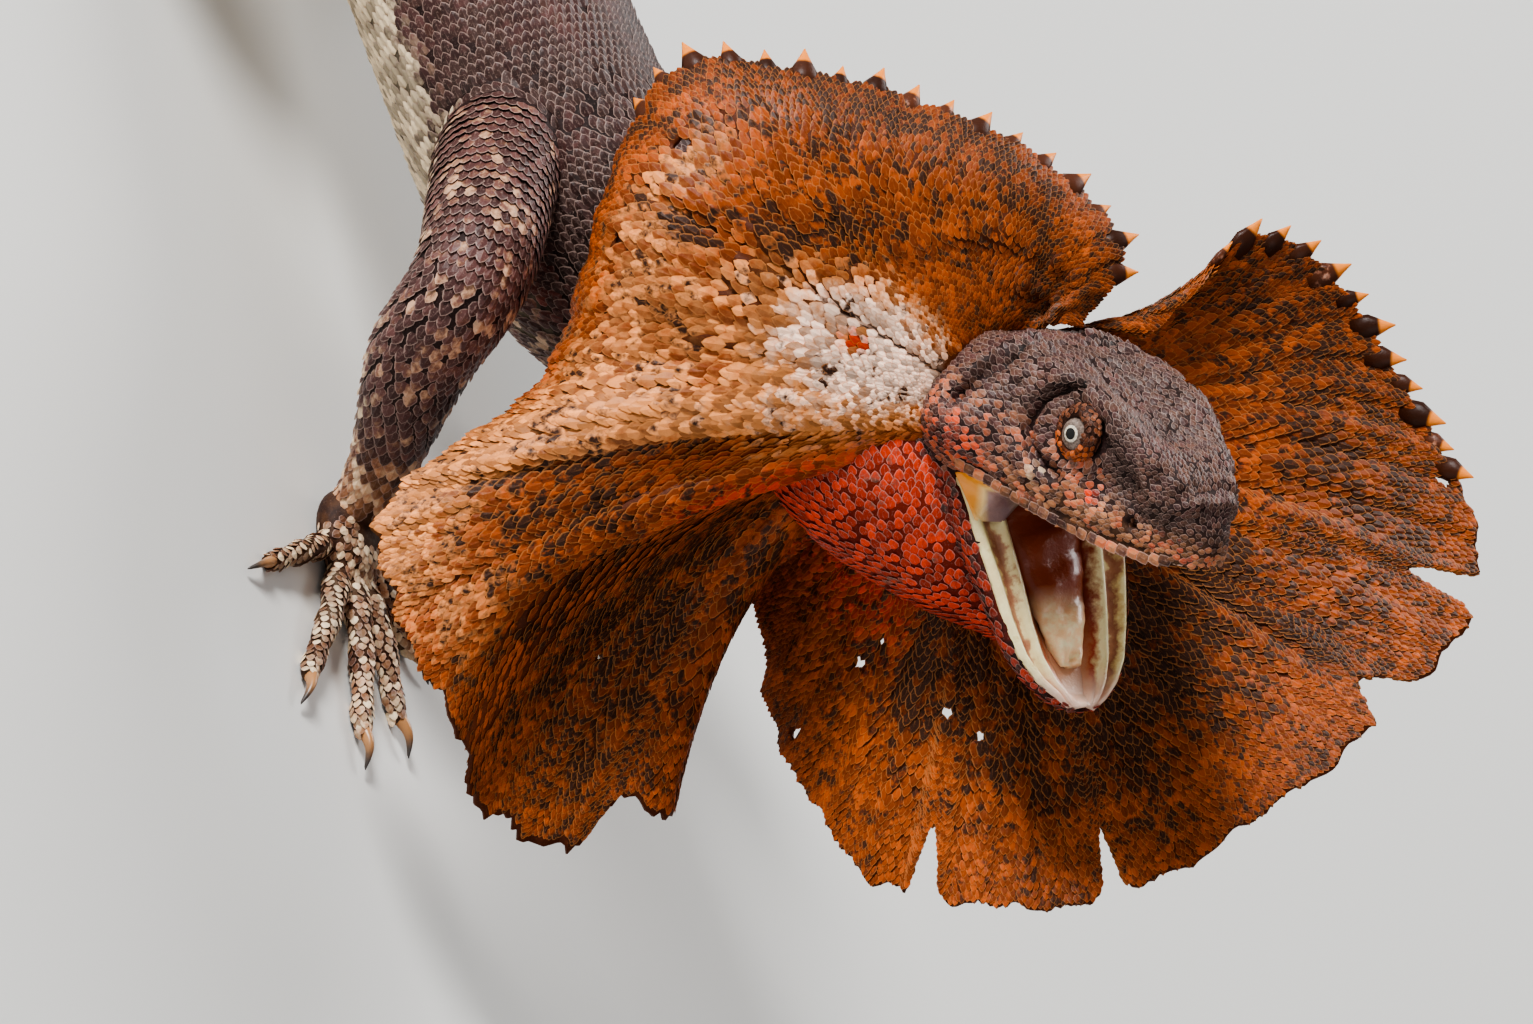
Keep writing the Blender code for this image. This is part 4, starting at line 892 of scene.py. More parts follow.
def corner_skin(side):
    """The skin of the mouth's corner: a curtain from lip to lip, bowed inward toward its free edge."""
    share = np.linspace(0.0, 1.0, 30)
    points, marks = [], []
    for deep in np.linspace(0.0, 1.3, 30):
        tuck = max(deep - 1.0, 0.0) * 18.0
        ends = []
        for axes, table, forward in ((SKULL_AXES, skull_table, 2.0 + 15.5 * min(deep, 1.0)),
                                     (JAW_AXES, jaw_table, 0.5 + 15.0 * min(deep, 1.0))):
            lip, lip_up = float(read_row(table, forward, 1)), float(read_row(table, forward, 2))
            ends.append(in_head((forward, side * (lip - 0.4 - tuck), lip_up + 0.1), axes))
        top, foot = ends
        line = top[None] * (1 - share)[:, None] + foot[None] * share[:, None]
        gap = float(np.linalg.norm(top - foot))
        bow = 4 * share * (1 - share) * (0.3 + 0.34 * gap * min(deep, 1.0) ** 1.4)
        inward = unit(-SKULL_AXES[1] * side * 0.8 - unit(SKULL_AXES[0] + JAW_AXES[0]) * 0.75)
        points.append(line + inward * bow[:, None])
        from_lip = np.minimum(share, 1 - share) * gap
        marks.append(np.stack([2.0 + from_lip / 10.0, np.full(30, deep)], axis=1))
    return np.array(points), np.array(marks)


def grid_faces(rows, columns, start=0):
    return [(start + i * columns + j, start + i * columns + j + 1, start + (i + 1) * columns + j + 1,
             start + (i + 1) * columns + j) for i in range(rows - 1) for j in range(columns - 1)]


mouth_points, mouth_marks, mouth_faces, start = [], [], [], 0
for points, marks in (lining(), palate(), gullet(), corner_skin(-1.0), corner_skin(1.0)):
    mouth_faces += grid_faces(points.shape[0], points.shape[1], start)
    mouth_points.append(points.reshape(-1, 3))
    mouth_marks.append(marks.reshape(-1, 2))
    start += points.shape[0] * points.shape[1]
mouth = mesh_object("mouth_lining", to_world(np.concatenate(mouth_points)), mouth_faces)
marks = np.concatenate(mouth_marks)
for number, name in enumerate(("across", "along")):
    keep_value(mouth.data, name, marks[:, number])
thicken = mouth.modifiers.new("thicken", "SOLIDIFY")
thicken.thickness = LINING_THICK * MM
thicken.offset = 0.0
as_made(mouth)


def moist(name, make_colour, roughness=0.28):
    """A wet finish that lets a little light in, for the inside of the mouth."""
    made, tree, shader = new_finish(
        name, Roughness=roughness, Subsurface_Weight=0.1, Subsurface_Radius=(0.0015, 0.0007, 0.0004),
        Coat_Weight=0.3, Coat_Roughness=0.1)
    tree.links.new(make_colour(tree), shader.inputs["Base Color"])
    grained(tree, shader, speckle(tree, 0.9, 3.0), 0.35, 0.5)
    return made


def lining_colour(tree):
    """Bands from the throat out to the cream lip, darkened in the middle toward the hinge as painted shade,
    and orange and mauve skin at the corners.
    """
    blur = sum_of(tree, sum_of(tree, speckle(tree, 2.6, 4.0), 0.5, "SUBTRACT"), 0.30, "MULTIPLY")
    across = sum_of(tree, attribute(tree, "across"), blur, "ADD")
    bands = banded(tree, across, [
        (0.0, (0.52, 0.27, 0.16)), (0.40, (0.50, 0.24, 0.14)), (0.50, (0.46, 0.15, 0.07)),
        (0.545, (0.36, 0.05, 0.03)), (0.59, (0.62, 0.40, 0.20)), (0.64, (0.84, 0.74, 0.42)),
        (0.72, (0.78, 0.64, 0.34)), (0.76, (0.46, 0.22, 0.12)), (0.84, (0.30, 0.12, 0.07)),
        (0.89, (0.62, 0.46, 0.20)), (0.94, (0.82, 0.73, 0.40)), (1.0, (0.74, 0.60, 0.32))])
    # painted shade: the middle of the mouth darkens to dark red toward the hinge, where the throat lies in
    # shadow
    deep = stretched(tree, attribute(tree, "along"), 0.88, 0.56)
    middle = stretched(tree, across, 0.66, 0.5)
    colour = mixed(tree, sum_of(tree, deep, middle, "MULTIPLY"), bands, (0.19, 0.030, 0.012, 1))
    colour = mixed(tree, stretched(tree, attribute(tree, "along"), 0.86, 1.0), colour, (0.76, 0.52, 0.40, 1))
    from_lip = sum_of(tree, sum_of(tree, across, 2.0, "SUBTRACT"), blur, "SUBTRACT")
    inner = sum_of(tree, sum_of(tree, from_lip, 0.25, "MULTIPLY"),
                   sum_of(tree, attribute(tree, "along"), 0.40, "MULTIPLY"), "ADD")
    cheek = banded(tree, inner, [
        (0.0, (0.80, 0.24, 0.020)), (0.36, (0.84, 0.34, 0.04)), (0.42, (0.86, 0.60, 0.24)),
        (0.46, (0.34, 0.20, 0.18)), (0.54, (0.20, 0.11, 0.11)), (0.70, (0.42, 0.33, 0.17))])
    return mixed(tree, stretched(tree, across, 1.7, 1.8), colour, cheek)


mouth.data.materials.append(moist("mouth_moist", lining_colour))
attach(mouth, "root")

tongue_rows = smooth(TONGUE, 8)
turns = np.arange(28) * 2 * math.pi / 28
crease = 0.5 * np.exp(-(np.cos(turns) / 0.2) ** 2) * (np.sin(turns) > 0)
tongue_rings = []
for forward, wide, high in tongue_rows:
    lump = 0.60 * np.sin(forward * 0.8 + 2.5 * np.cos(turns))
    lump = lump + 0.28 * np.sin(forward * 2.3 + 5 * np.cos(turns))
    height = TONGUE_HEIGHT + (high - crease + lump) * np.sin(turns)
    tongue_rings.append(section(forward, wide * np.cos(turns), height, JAW_AXES))
tongue = joined("tongue_moist", [skinned(tongue_rings)])
facing_out(tongue)
keep_value(tongue.data, "along", [*np.repeat(tongue_rows[:, 0] / 40.0, len(turns)), 0.2, 1.0])


def tongue_colour(tree):
    flesh = mixed(tree, stretched(tree, speckle(tree, 1.6, 4.0), 0.35, 0.7),
                  (0.98, 0.62, 0.34, 1), (1.0, 0.84, 0.52, 1))
    # painted shade: the tongue darkens toward its root, in the shadow at the back of the mouth
    return mixed(tree, stretched(tree, attribute(tree, "along"), 0.86, 0.64), flesh, (0.20, 0.036, 0.013, 1))


tongue.data.materials.append(moist("tongue_skin", tongue_colour, 0.34))
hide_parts("tongue")
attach(tongue, "root")

# The claws: curved horn, tan at the root and dark at the tip, one at the end of every toe.
CLAW_LENGTH, CLAW_RADIUS, CLAW_TIP, CLAW_ARCH = 6.0, 1.25, 0.08, 1.15


def claw_shape(end, ahead):
    tip, share = end[:3], np.linspace(0.0, 1.0, 14)
    rows = []
    for s in share:
        reach = -1.6 + (CLAW_LENGTH + 1.4) * s
        lift = CLAW_ARCH * math.sin(math.pi * min(s * 1.05, 1.0)) - 0.25 * s
        radius = CLAW_RADIUS * (1 - s) ** 0.75
        rows.append((*(tip + ahead * reach + (0, 0, lift)), radius * 0.8 + CLAW_TIP, radius + CLAW_TIP))
    return skinned(swept(rows, 12)), np.repeat(share, 12)


claw_shapes, claw_shares = [], []
for end, ahead in toe_ends:
    shape, share = claw_shape(end, ahead)
    claw_shapes.append(shape)
    claw_shares.append(np.concatenate([share, [0.0, 1.0]]))
claws = joined("claws", claw_shapes)
facing_out(claws)
keep_value(claws.data, "along", np.concatenate(claw_shares))


def horn():
    made, tree, shader = new_finish("horn", Roughness=0.35)
    streaks = sum_of(tree, speckle(tree, 1.0, 2.0), 0.2, "MULTIPLY")
    share = sum_of(tree, attribute(tree, "along"), streaks, "ADD")
    colour = mixed(tree, stretched(tree, share, 0.45, 0.95), (0.42, 0.20, 0.08, 1), (0.05, 0.04, 0.035, 1))
    tree.links.new(colour, shader.inputs["Base Color"])
    return made


claws.data.materials.append(horn())
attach(claws, "root")

# The frill: one thin folded membrane on cartilage rods, from the right nape round under the throat
# to the left nape. It is drawn along rays, each with a root, a middle and a rim point, and has
# rod ridges, pleats, notches in its rim and a few small holes.
RAYS = [
    ((4.0, 14.0, 3.0), (9.0, 15.5, 3.0), (13.0, 15.0, 0.0)),
    ((2.0, 13.5, 3.5), (12.0, 22.0, 1.0), (20.0, 25.5, -4.0)),
    ((0.5, 13.0, 4.5), (8.0, 27.0, 3.0), (16.5, 34.0, -7.0)),
    ((-1.0, 12.5, 5.0), (0.0, 33.0, 6.0), (5.0, 43.5, -5.0)),
    ((-3.0, 11.5, 6.0), (-14.0, 36.0, 10.0), (-13.0, 51.5, -2.0)),
    ((-4.5, 10.0, 6.5), (-26.0, 38.0, 13.0), (-33.0, 56.5, 1.0)),
    ((-6.0, 8.0, 7.5), (-35.0, 36.0, 16.0), (-52.0, 57.0, 0.0)),
    ((-7.0, 6.0, 8.0), (-47.0, 31.0, 18.0), (-62.0, 40.0, -4.0)),
    ((-8.0, 4.0, 8.0), (-50.0, 19.0, 19.0), (-67.0, 23.0, -4.0)),
    ((-8.5, 2.0, 8.0), (-48.0, 9.0, 18.0), (-74.0, 6.0, 1.0)),
    ((-8.5, 0.0, 8.0), (-51.0, 2.0, 19.0), (-87.0, -4.0, 8.0)),
    ((-8.5, -2.0, 7.5), (-52.0, -4.0, 18.0), (-100.0, -14.5, 13.0)),
    ((-8.5, -4.0, 7.0), (-56.0, -10.0, 15.0), (-98.5, -30.0, 17.0)),
    ((-8.5, -5.5, 6.5), (-58.0, -17.0, 12.0), (-89.0, -48.0, 16.0)),
    ((-8.5, -6.5, 6.0), (-49.0, -17.0, -3.0), (-87.0, -64.0, 4.0)),
    ((-8.5, -7.5, 5.5), (-42.0, -18.0, -9.0), (-72.0, -71.0, -4.0)),
    ((-8.5, -8.5, 5.0), (-37.0, -20.0, -10.0), (-55.5, -65.0, -10.0)),
    ((-8.0, -9.5, 4.0), (-36.0, -19.0, -16.0), (-60.0, -50.0, -21.0)),
    ((-8.0, -10.5, 3.0), (-32.0, -18.0, -19.0), (-49.5, -42.0, -32.0)),
    ((-7.5, -11.5, 2.0), (-27.0, -18.0, -18.0), (-41.0, -28.0, -40.0)),
    ((-6.5, -12.5, 0.5), (-23.0, -27.0, -13.0), (-38.0, -46.0, -32.0)),
    ((-5.0, -13.5, -1.0), (-17.0, -34.0, -8.0), (-31.0, -62.0, -18.0)),
    ((-3.5, -14.0, -2.5), (-11.0, -40.0, -5.0), (-20.0, -76.0, -8.0)),
    ((-1.5, -14.0, -4.0), (-3.0, -44.0, -6.0), (-6.0, -79.0, -3.0)),
    ((0.5, -13.5, -5.0), (5.0, -45.0, -7.0), (8.0, -80.0, -1.0)),
    ((2.5, -12.0, -6.0), (14.0, -42.0, -10.0), (25.0, -76.0, -4.0)),
    ((4.5, -10.0, -8.0), (23.0, -36.0, -15.0), (46.0, -64.0, -10.0)),
    ((6.5, -7.5, -10.0), (33.0, -27.0, -21.0), (66.0, -47.5, -16.0)),
    ((8.5, -4.0, -11.5), (41.0, -16.0, -26.0), (80.0, -31.0, -20.0)),
    ((10.0, 0.0, -12.0), (45.0, -4.0, -28.0), (79.5, -14.0, -25.0)),
    ((11.0, 3.5, -12.0), (43.0, 6.0, -28.0), (71.0, 1.5, -29.0)),
    ((11.0, 6.5, -10.0), (39.0, 13.0, -26.0), (62.0, 17.0, -30.0)),
    ((10.5, 9.0, -8.0), (34.0, 18.0, -22.0), (52.5, 27.5, -27.0)),
    ((9.5, 11.0, -5.5), (29.0, 19.5, -16.0), (42.0, 30.5, -22.0)),
    ((8.5, 12.5, -3.5), (24.0, 17.5, -10.0), (33.0, 22.0, -15.0)),
    ((7.0, 13.5, -1.5), (16.0, 15.0, -4.0), (24.0, 13.5, -8.0)),
]
LAST_RAY = len(RAYS) - 1
MEMBRANE = 0.8
# Rods: ray and how far out. Notches: ray, half width in rays and depth.
RODS = [(7.0, 0.85), (11.0, 0.98), (13.0, 0.95), (21.6, 0.7), (23.9, 0.96), (25.1, 0.92), (27.0, 0.9),
        (30.0, 0.6)]
ROD_HEIGHT = 0.95
NOTCHES = [(19.6, 0.4, 0.05), (22.56, 0.2, 0.15), (24.69, 0.13, 0.15), (27.06, 0.2, 0.07),
           (28.14, 0.17, 0.12), (15.5, 0.3, 0.04)]
# Small holes where the membrane was torn: ray, share of the way out, half width and half length.
HOLES = [(20.8, 0.64, 0.7, 1.1), (20.95, 0.54, 0.6, 0.9), (22.5, 0.57, 0.6, 1.3), (23.06, 0.60, 0.5, 0.8),
         (29.2, 0.94, 0.7, 0.6), (6.44, 0.74, 1.3, 1.0), (20.56, 0.92, 0.5, 0.9), (14.25, 0.75, 0.5, 1.1),
         (7.56, 0.75, 1.0, 0.5)]
RAY_STEPS = 16
ray_table = smooth(np.reshape(RAYS, (len(RAYS), 9)), RAY_STEPS)


def frill_place(ray, out):
    """Points of the membrane's middle, at rays and shares of the way out, in the frill's layout."""
    at = np.clip(np.asarray(ray, float), 0.0, LAST_RAY) * RAY_STEPS
    low = np.minimum(at.astype(int), len(ray_table) - 2)
    t = (at - low)[..., None]
    row = ray_table[low] * (1 - t) + ray_table[low + 1] * t
    root, middle, rim = row[..., 0:3], row[..., 3:6], row[..., 6:9]
    out = np.asarray(out, float)[..., None]
    bend = 2.0 * middle - 0.5 * (root + rim)
    return root * (1 - out) ** 2 + 2 * bend * out * (1 - out) + rim * out ** 2


def frill_facing(ray, out):
    across = frill_place(ray + 0.12, out) - frill_place(ray - 0.12, out)
    outward = frill_place(ray, out + 0.04) - frill_place(ray, out - 0.04)
    return -unit(np.cross(outward, across)), unit(outward)


def rim_share(ray):
    """How far out the rim is: slightly wavy, serrated where it has no spikes, and notched."""
    share = 1.0 - 0.012 * (1 + np.sin(ray * 9.1) * np.cos(ray * 3.7))
    unspiked = ramp(ray, 7.0, 9.0) * ramp(-ray, -34.0, -30.0)
    share = share - 0.010 * np.abs(np.sin(ray * 21.0 + np.sin(ray * 7.0) * 2.0)) * unspiked
    for place, width, depth in NOTCHES:
        share = share - depth * np.maximum(0.0, 1.0 - ((ray - place) / width) ** 2)
    return share


def rod_rise(ray, out):
    rise = np.zeros(np.broadcast(ray, out).shape)
    for place, reach in RODS:
        ridge = np.exp(-((ray - place) / 0.10) ** 2) * ramp(reach - out, 0.0, 0.2)
        rise = np.maximum(rise, ridge)
    return rise


def pleats(ray, out):
    """Fine folds of the stretched skin between the rods, and rolls where it gathers at the neck."""
    wave = np.sin(ray * 10.0 + 1.5 * np.sin(out * 6.0)) * 0.28 + np.sin(ray * 23.0 + out * 4.0) * 0.12
    near = np.exp(-((out - 0.33) / 0.17) ** 2) * (1 - ramp(ray, 7.0, 9.5))
    gather = (np.sin(out * 27.0 + ray * 1.9) + 0.5 * np.sin(out * 13.0 - ray * 2.6)) * 0.75 * near
    hollow = np.exp(-((ray - 12.5) / 0.75) ** 2) * np.exp(-((out - 0.40) / 0.20) ** 2)
    pocket = (0.5 * np.sin(out * 24.0 - ray * 3.0) - 3.4) * hollow
    brow = 2.0 * np.exp(-((ray - 11.1) / 0.45) ** 2) * np.exp(-((out - 0.45) / 0.26) ** 2)
    step = -3.4 * ramp(ray, 13.15, 13.45) * ramp(out, 0.30, 0.55) * (1 - ramp(ray, 14.6, 18.5))
    return wave * ramp(out, 0.05, 0.4) + gather + pocket + brow + step


def frill_surface(ray, out):
    """Place, facing and outward line of the membrane in the world, in millimetres."""
    facing, outward = frill_facing(ray, out)
    place = frill_place(ray, out) + facing * (ROD_HEIGHT * rod_rise(ray, out) + pleats(ray, out))[..., None]
    return in_frill(place), facing @ FRILL_AXES, outward @ FRILL_AXES


# Where the membrane's shades lie: ray, share of the way out, their reaches, and pale, red, dark, tan.
FRILL_PATCHES = [
    # The pale patch at ray 7.6 is the throat's pale colour, its bright core partly a painted highlight.
    (7.6, 0.10, 1.8, 0.17, 0.84, 0.0, -0.4, 0.2), (9.4, 0.21, 2.6, 0.22, 0.32, 0.0, -0.40, 1.0),
    (7.6, 0.15, 0.40, 0.03, -0.9, 0.9, 0.0, 0.0), (3.6, 0.82, 2.8, 0.34, 0.0, 0.0, 0.66, -0.1),
    (5.2, 0.95, 1.6, 0.16, 0.0, 0.0, 0.20, 0.0), (11.2, 0.66, 1.4, 0.40, 0.0, 0.0, 0.26, 0.0),
    (6.4, 0.12, 1.6, 0.18, 0.0, 0.0, 0.0, 0.45),
    # The dark from ray 5.4 to 8.4 along the folds at the neck is painted shade.
    (2.6, 0.35, 1.8, 0.24, 0.0, 0.0, 0.26, 0.22), (5.4, 0.38, 0.8, 0.10, 0.0, 0.0, 0.50, 0.0),
    (6.2, 0.34, 0.9, 0.10, 0.0, 0.0, 0.60, 0.10),
    (6.5, 0.46, 0.5, 0.06, 0.0, 0.0, 0.50, 0.0), (7.2, 0.52, 0.4, 0.05, 0.0, 0.0, 0.45, 0.0),
    (8.4, 0.56, 0.5, 0.05, 0.0, 0.0, 0.40, 0.0), (6.4, 0.68, 0.9, 0.10, 0.0, 0.0, -0.1, 0.40),
    (7.8, 0.62, 1.3, 0.26, 0.0, 0.0, 0.12, 0.52), (9.4, 0.75, 1.0, 0.26, 0.05, 0.0, 0.08, 0.56),
    # The lobe's tan and pale, here and at ray 12.5, are partly its colour and partly a painted sheen.
    (10.4, 0.66, 0.7, 0.34, 0.14, 0.0, -0.05, 0.70), (11.3, 0.97, 0.9, 0.18, 0.14, 0.0, -0.05, 0.74),
    (12.5, 0.83, 0.6, 0.16, 0.03, 0.0, 0.10, 0.46), (12.2, 0.66, 0.6, 0.16, 0.0, 0.0, 0.40, 0.0),
    # The pocket's dark at ray 12.9 and the dark line past the fold's step at ray 13.7 are painted shade; the
    # pocket's red is its own colour.
    (12.9, 0.33, 0.7, 0.16, 0.0, 0.55, 0.15, 0.0), (13.7, 0.62, 0.30, 0.22, 0.0, 0.0, 0.9, -0.2),
    # The hanging part's dark at rays 14.4 and 14.8, behind the lobe, is painted shade.
    (14.8, 0.88, 0.9, 0.30, 0.10, 0.0, 0.50, 0.34), (14.4, 0.55, 0.6, 0.20, 0.0, 0.0, 0.6, 0.0),
    (16.6, 0.60, 1.2, 0.30, 0.0, 0.15, 0.50, 0.0), (18.5, 0.70, 1.0, 0.40, 0.0, 0.35, 0.20, 0.10),
    (20.2, 0.40, 1.8, 0.20, 0.0, 0.75, 0.25, 0.0), (22.6, 0.46, 1.4, 0.20, 0.0, 0.1, 0.85, 0.0),
    (21.0, 0.78, 2.4, 0.26, 0.0, 0.15, 0.16, 0.12), (26.0, 0.44, 1.3, 0.18, 0.0, 0.0, 1.0, 0.0),
    (24.6, 0.66, 1.5, 0.22, 0.0, 0.1, 0.40, 0.0), (28.6, 0.40, 1.4, 0.16, 0.0, 0.25, -0.1, 0.0),
    (31.5, 0.72, 2.0, 0.30, 0.0, 0.0, 0.26, 0.0), (34.0, 0.50, 1.6, 0.60, 0.0, 0.0, 0.55, 0.0),
    (28.8, 0.95, 1.6, 0.10, 0.0, 0.0, 0.0, 0.25), (0.4, 0.5, 1.2, 0.8, 0.0, 0.0, 0.45, 0.0),
    (28.4, 0.74, 2.6, 0.34, 0.0, 0.0, 0.62, -0.1),
]


def frill_markings(ray, out):
    """Pale, red, dark and tan of the membrane, with painted shade as a dark line beside each rod."""
    shades = np.zeros((*np.broadcast(ray, out).shape, 4))
    shades[..., 1] = 0.35 * (1 - ramp(out, 0.12, 0.4)) * ramp(ray, 9.0, 12.0) * (1 - ramp(ray, 28.0, 31.0))
    for at_ray, at_out, ray_reach, out_reach, *amounts in FRILL_PATCHES:
        near = np.exp(-((ray - at_ray) / ray_reach) ** 2 - ((out - at_out) / out_reach) ** 2)
        shades += near[..., None] * np.array(amounts)
    # painted shade: a dark line on one side of each rod's ridge
    shades[..., 2] += 0.45 * rod_rise(ray - 0.16, out)
    return np.clip(shades, 0, 1)


columns, rows = 701, 70
ray = np.linspace(0.0, LAST_RAY, columns)[:, None] * np.ones((1, rows))
out = (np.linspace(0.0, 1.0, rows)[None] ** 0.9) * rim_share(ray)
place, _facing, _outward = frill_surface(ray, out)
gone = np.zeros((columns, rows), bool)
for hole_ray, hole_out, wide, long in HOLES:
    centre, _f, outward = frill_surface(np.array(hole_ray), np.array(hole_out))
    away = place - centre
    lengthwise = away @ outward
    sideways = np.sqrt(np.maximum((away ** 2).sum(axis=-1) - lengthwise ** 2, 0.0))
    gone |= (lengthwise / long) ** 2 + (sideways / wide) ** 2 < 1.0
membrane = mesh_object("frill_membrane", to_world(place.reshape(-1, 3)),
                       [face for face in grid_faces(columns, rows) if not gone.reshape(-1)[list(face)].any()])
keep_shades(membrane.data, frill_markings(ray.reshape(-1), out.reshape(-1)))
thicken = membrane.modifiers.new("thicken", "SOLIDIFY")
thicken.thickness = MEMBRANE * MM
thicken.offset = 0.0
as_made(membrane)
facing_out(membrane)
FRILL_COLOURS = {"Ground": (0.32, 0.062, 0.010), "Blotch": (0.060, 0.016, 0.007), "Pale": (1.0, 0.70, 0.53),
                 "Red": (0.52, 0.032, 0.003), "Dark": (0.028, 0.010, 0.005), "Tan": (0.68, 0.26, 0.085),
                 "Edge": (0.56, 0.22, 0.07)}
membrane.data.materials.append(scaly("frill_skin", darker(FRILL_COLOURS), 0.7, 0.0, 0.6))
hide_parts("frill_right_top", "frill_right_lobe", "frill_right_fold", "frill_throat", "frill_left")
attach(membrane, "root")

# The scales of the frill: keeled plates in rows that follow the rim on both faces, each lying
# outward over the next, smaller toward the rim, where the last row stands out as a fringe.
SCALE_LENGTH, SCALE_WIDTH, SCALE_THICK, SCALE_PITCH, SCALE_SPACING = 4.0, 2.5, 1.5, 2.5, 2.15
OUTWARD_STEPS = 70


def plate(name, outline, keel, sink):
    """One scale, tip toward +Y: a rim of points, a keel of two points and a point below."""
    rim = np.array(outline, float)
    points = np.concatenate([rim, keel, [(0.0, 0.05, sink)]])
    count = len(rim)
    front, back, under = count, count + 1, count + 2
    tip = count // 2
    faces = []
    for k in range(count):
        nearest = [front if min(j, count - j) <= tip / 2 else back for j in (k, (k + 1) % count)]
        if nearest[0] == nearest[1]:
            faces.append((k, (k + 1) % count, nearest[0]))
        else:
            faces += [(k, (k + 1) % count, nearest[0]), ((k + 1) % count, nearest[1], nearest[0])]
        faces.append(((k + 1) % count, k, under))
    thing = mesh_object(name, points, faces, flat=True)
    facing_out(thing)
    keep_value(thing.data, "edge", [1.0] * count + [0.0, 0.15, 1.0])
    return thing


KEELED_OUTLINE = [(0, -0.42, 0.0), (0.40, -0.20, 0.02), (0.50, 0.10, 0.05), (0.27, 0.42, 0.12),
                  (0, 0.58, 0.16), (-0.27, 0.42, 0.12), (-0.50, 0.10, 0.05), (-0.40, -0.20, 0.02)]
keeled = plate("keeled_plate", KEELED_OUTLINE, [(0, -0.14, 0.15), (0, 0.30, 0.23)], -0.14)


def scale_layer():
    """Puts a plate on every point: Z along its facing, Y along its lie, sized by its girth."""
    tree = bpy.data.node_groups.new("scale_layer", "GeometryNodeTree")
    made = {}
    for label, kind in (("Points", "Geometry"), ("Plate", "Object"), ("Finish", "Material")):
        made[label] = tree.interface.new_socket(name=label, in_out="INPUT", socket_type=f"NodeSocket{kind}")
    tree.interface.new_socket(name="Scales", in_out="OUTPUT", socket_type="NodeSocketGeometry")
    given = tree.nodes.new("NodeGroupInput").outputs
    read = {}
    for label in ("facing", "lie", "girth"):
        node = tree.nodes.new("GeometryNodeInputNamedAttribute")
        node.data_type = "FLOAT_VECTOR"
        node.inputs["Name"].default_value = label
        read[label] = node.outputs["Attribute"]
    turn = tree.nodes.new("FunctionNodeAxesToRotation")
    turn.primary_axis, turn.secondary_axis = "Z", "Y"
    tree.links.new(read["facing"], turn.inputs[0])
    tree.links.new(read["lie"], turn.inputs[1])
    shape = tree.nodes.new("GeometryNodeObjectInfo")
    tree.links.new(given["Plate"], shape.inputs["Object"])
    spread = tree.nodes.new("GeometryNodeInstanceOnPoints")
    tree.links.new(given["Points"], spread.inputs["Points"])
    tree.links.new(shape.outputs["Geometry"], spread.inputs["Instance"])
    tree.links.new(turn.outputs[0], spread.inputs["Rotation"])
    tree.links.new(read["girth"], spread.inputs["Scale"])
    real = tree.nodes.new("GeometryNodeRealizeInstances")
    tree.links.new(spread.outputs[0], real.inputs[0])
    finish = tree.nodes.new("GeometryNodeSetMaterial")
    tree.links.new(real.outputs[0], finish.inputs["Geometry"])
    tree.links.new(given["Finish"], finish.inputs["Material"])
    end = tree.nodes.new("NodeGroupOutput")
    tree.links.new(finish.outputs[0], end.inputs[0])
    return tree, {label: socket.identifier for label, socket in made.items()}


SCALE_LAYER, LAYER_INPUTS = scale_layer()
chance = np.random.default_rng(7)


def lay_scales(name, plate_used, spots, facing, lie, girth, shades, unwrap, finish, slot):
    """One coat piece of scales at spots in millimetres, with its bake map on the skin's unwrap."""
    points = mesh_object(name, to_world(spots), [])
    points.data.materials.append(finish)
    for label, values in (("facing", facing), ("lie", lie), ("girth", np.asarray(girth) * MM)):
        kept = points.data.attributes.new(label, "FLOAT_VECTOR", "POINT")
        kept.data.foreach_set("vector", np.ascontiguousarray(values, np.float32).reshape(-1))
    keep_shades(points.data, shades)
    keep_value(points.data, "tint", chance.random(len(spots)))
    layer = points.modifiers.new("scales", "NODES")
    layer.node_group = SCALE_LAYER
    layer[LAYER_INPUTS["Plate"]] = plate_used
    layer[LAYER_INPUTS["Finish"]] = finish
    as_made(points)
    mesh = points.data
    for label in ("facing", "lie", "girth"):
        if label in mesh.attributes:
            mesh.attributes.remove(mesh.attributes[label])
    shape = np.empty(len(plate_used.data.vertices) * 3)
    plate_used.data.vertices.foreach_get("co", shape)
    shape = shape.reshape(-1, 3)
    corners = np.empty(len(mesh.loops), int)
    mesh.loops.foreach_get("vertex_index", corners)
    patch = 0.003 * shape[:, :2][corners % len(shape)]
    bake = mesh.uv_layers.new(name="OFBake")
    bake.data.foreach_set("uv", (unwrap[corners // len(shape)] + patch).reshape(-1))
    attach(points, "root")
    return points


frill_scales = scaly("frill_scales", FRILL_COLOURS, 0.85, 0.46, 0.46, flecks=0.10, wander=0.70, mottle=1.7)


def frill_scale_size(ray, from_rim, from_root):
    """Share of full size of a scale: small at the rim and at the neck, largest on the right folds."""
    most = 0.80 + 0.20 * np.exp(-((ray - 9.5) / 4.0) ** 2)
    return most * (0.62 + 0.38 * ramp(from_rim, 1.0, 24.0)) * (0.52 + 0.48 * ramp(from_root, 6.0, 32.0))


def walked_along(line):
    """How far along a line each of its points is."""
    return np.concatenate([[0.0], np.cumsum(np.linalg.norm(np.diff(line, axis=0), axis=1))])


def square_to(lines, others):
    """Lines with what runs along the others taken out."""
    return lines - others * (lines * others).sum(axis=1, keepdims=True)


def fitted(places, start, end):
    """A row of places between two ends, with some dropped and some added to lie about 1 apart."""
    row = []
    for place in (*places, end):
        gap = place - start
        if gap >= 0.7:
            parts = max(int(gap + 0.7), 1)
            row += [start + gap * (k + 1) / parts for k in range(parts)]
            start = place
    return np.array([place for place in row if place < end - 0.01])


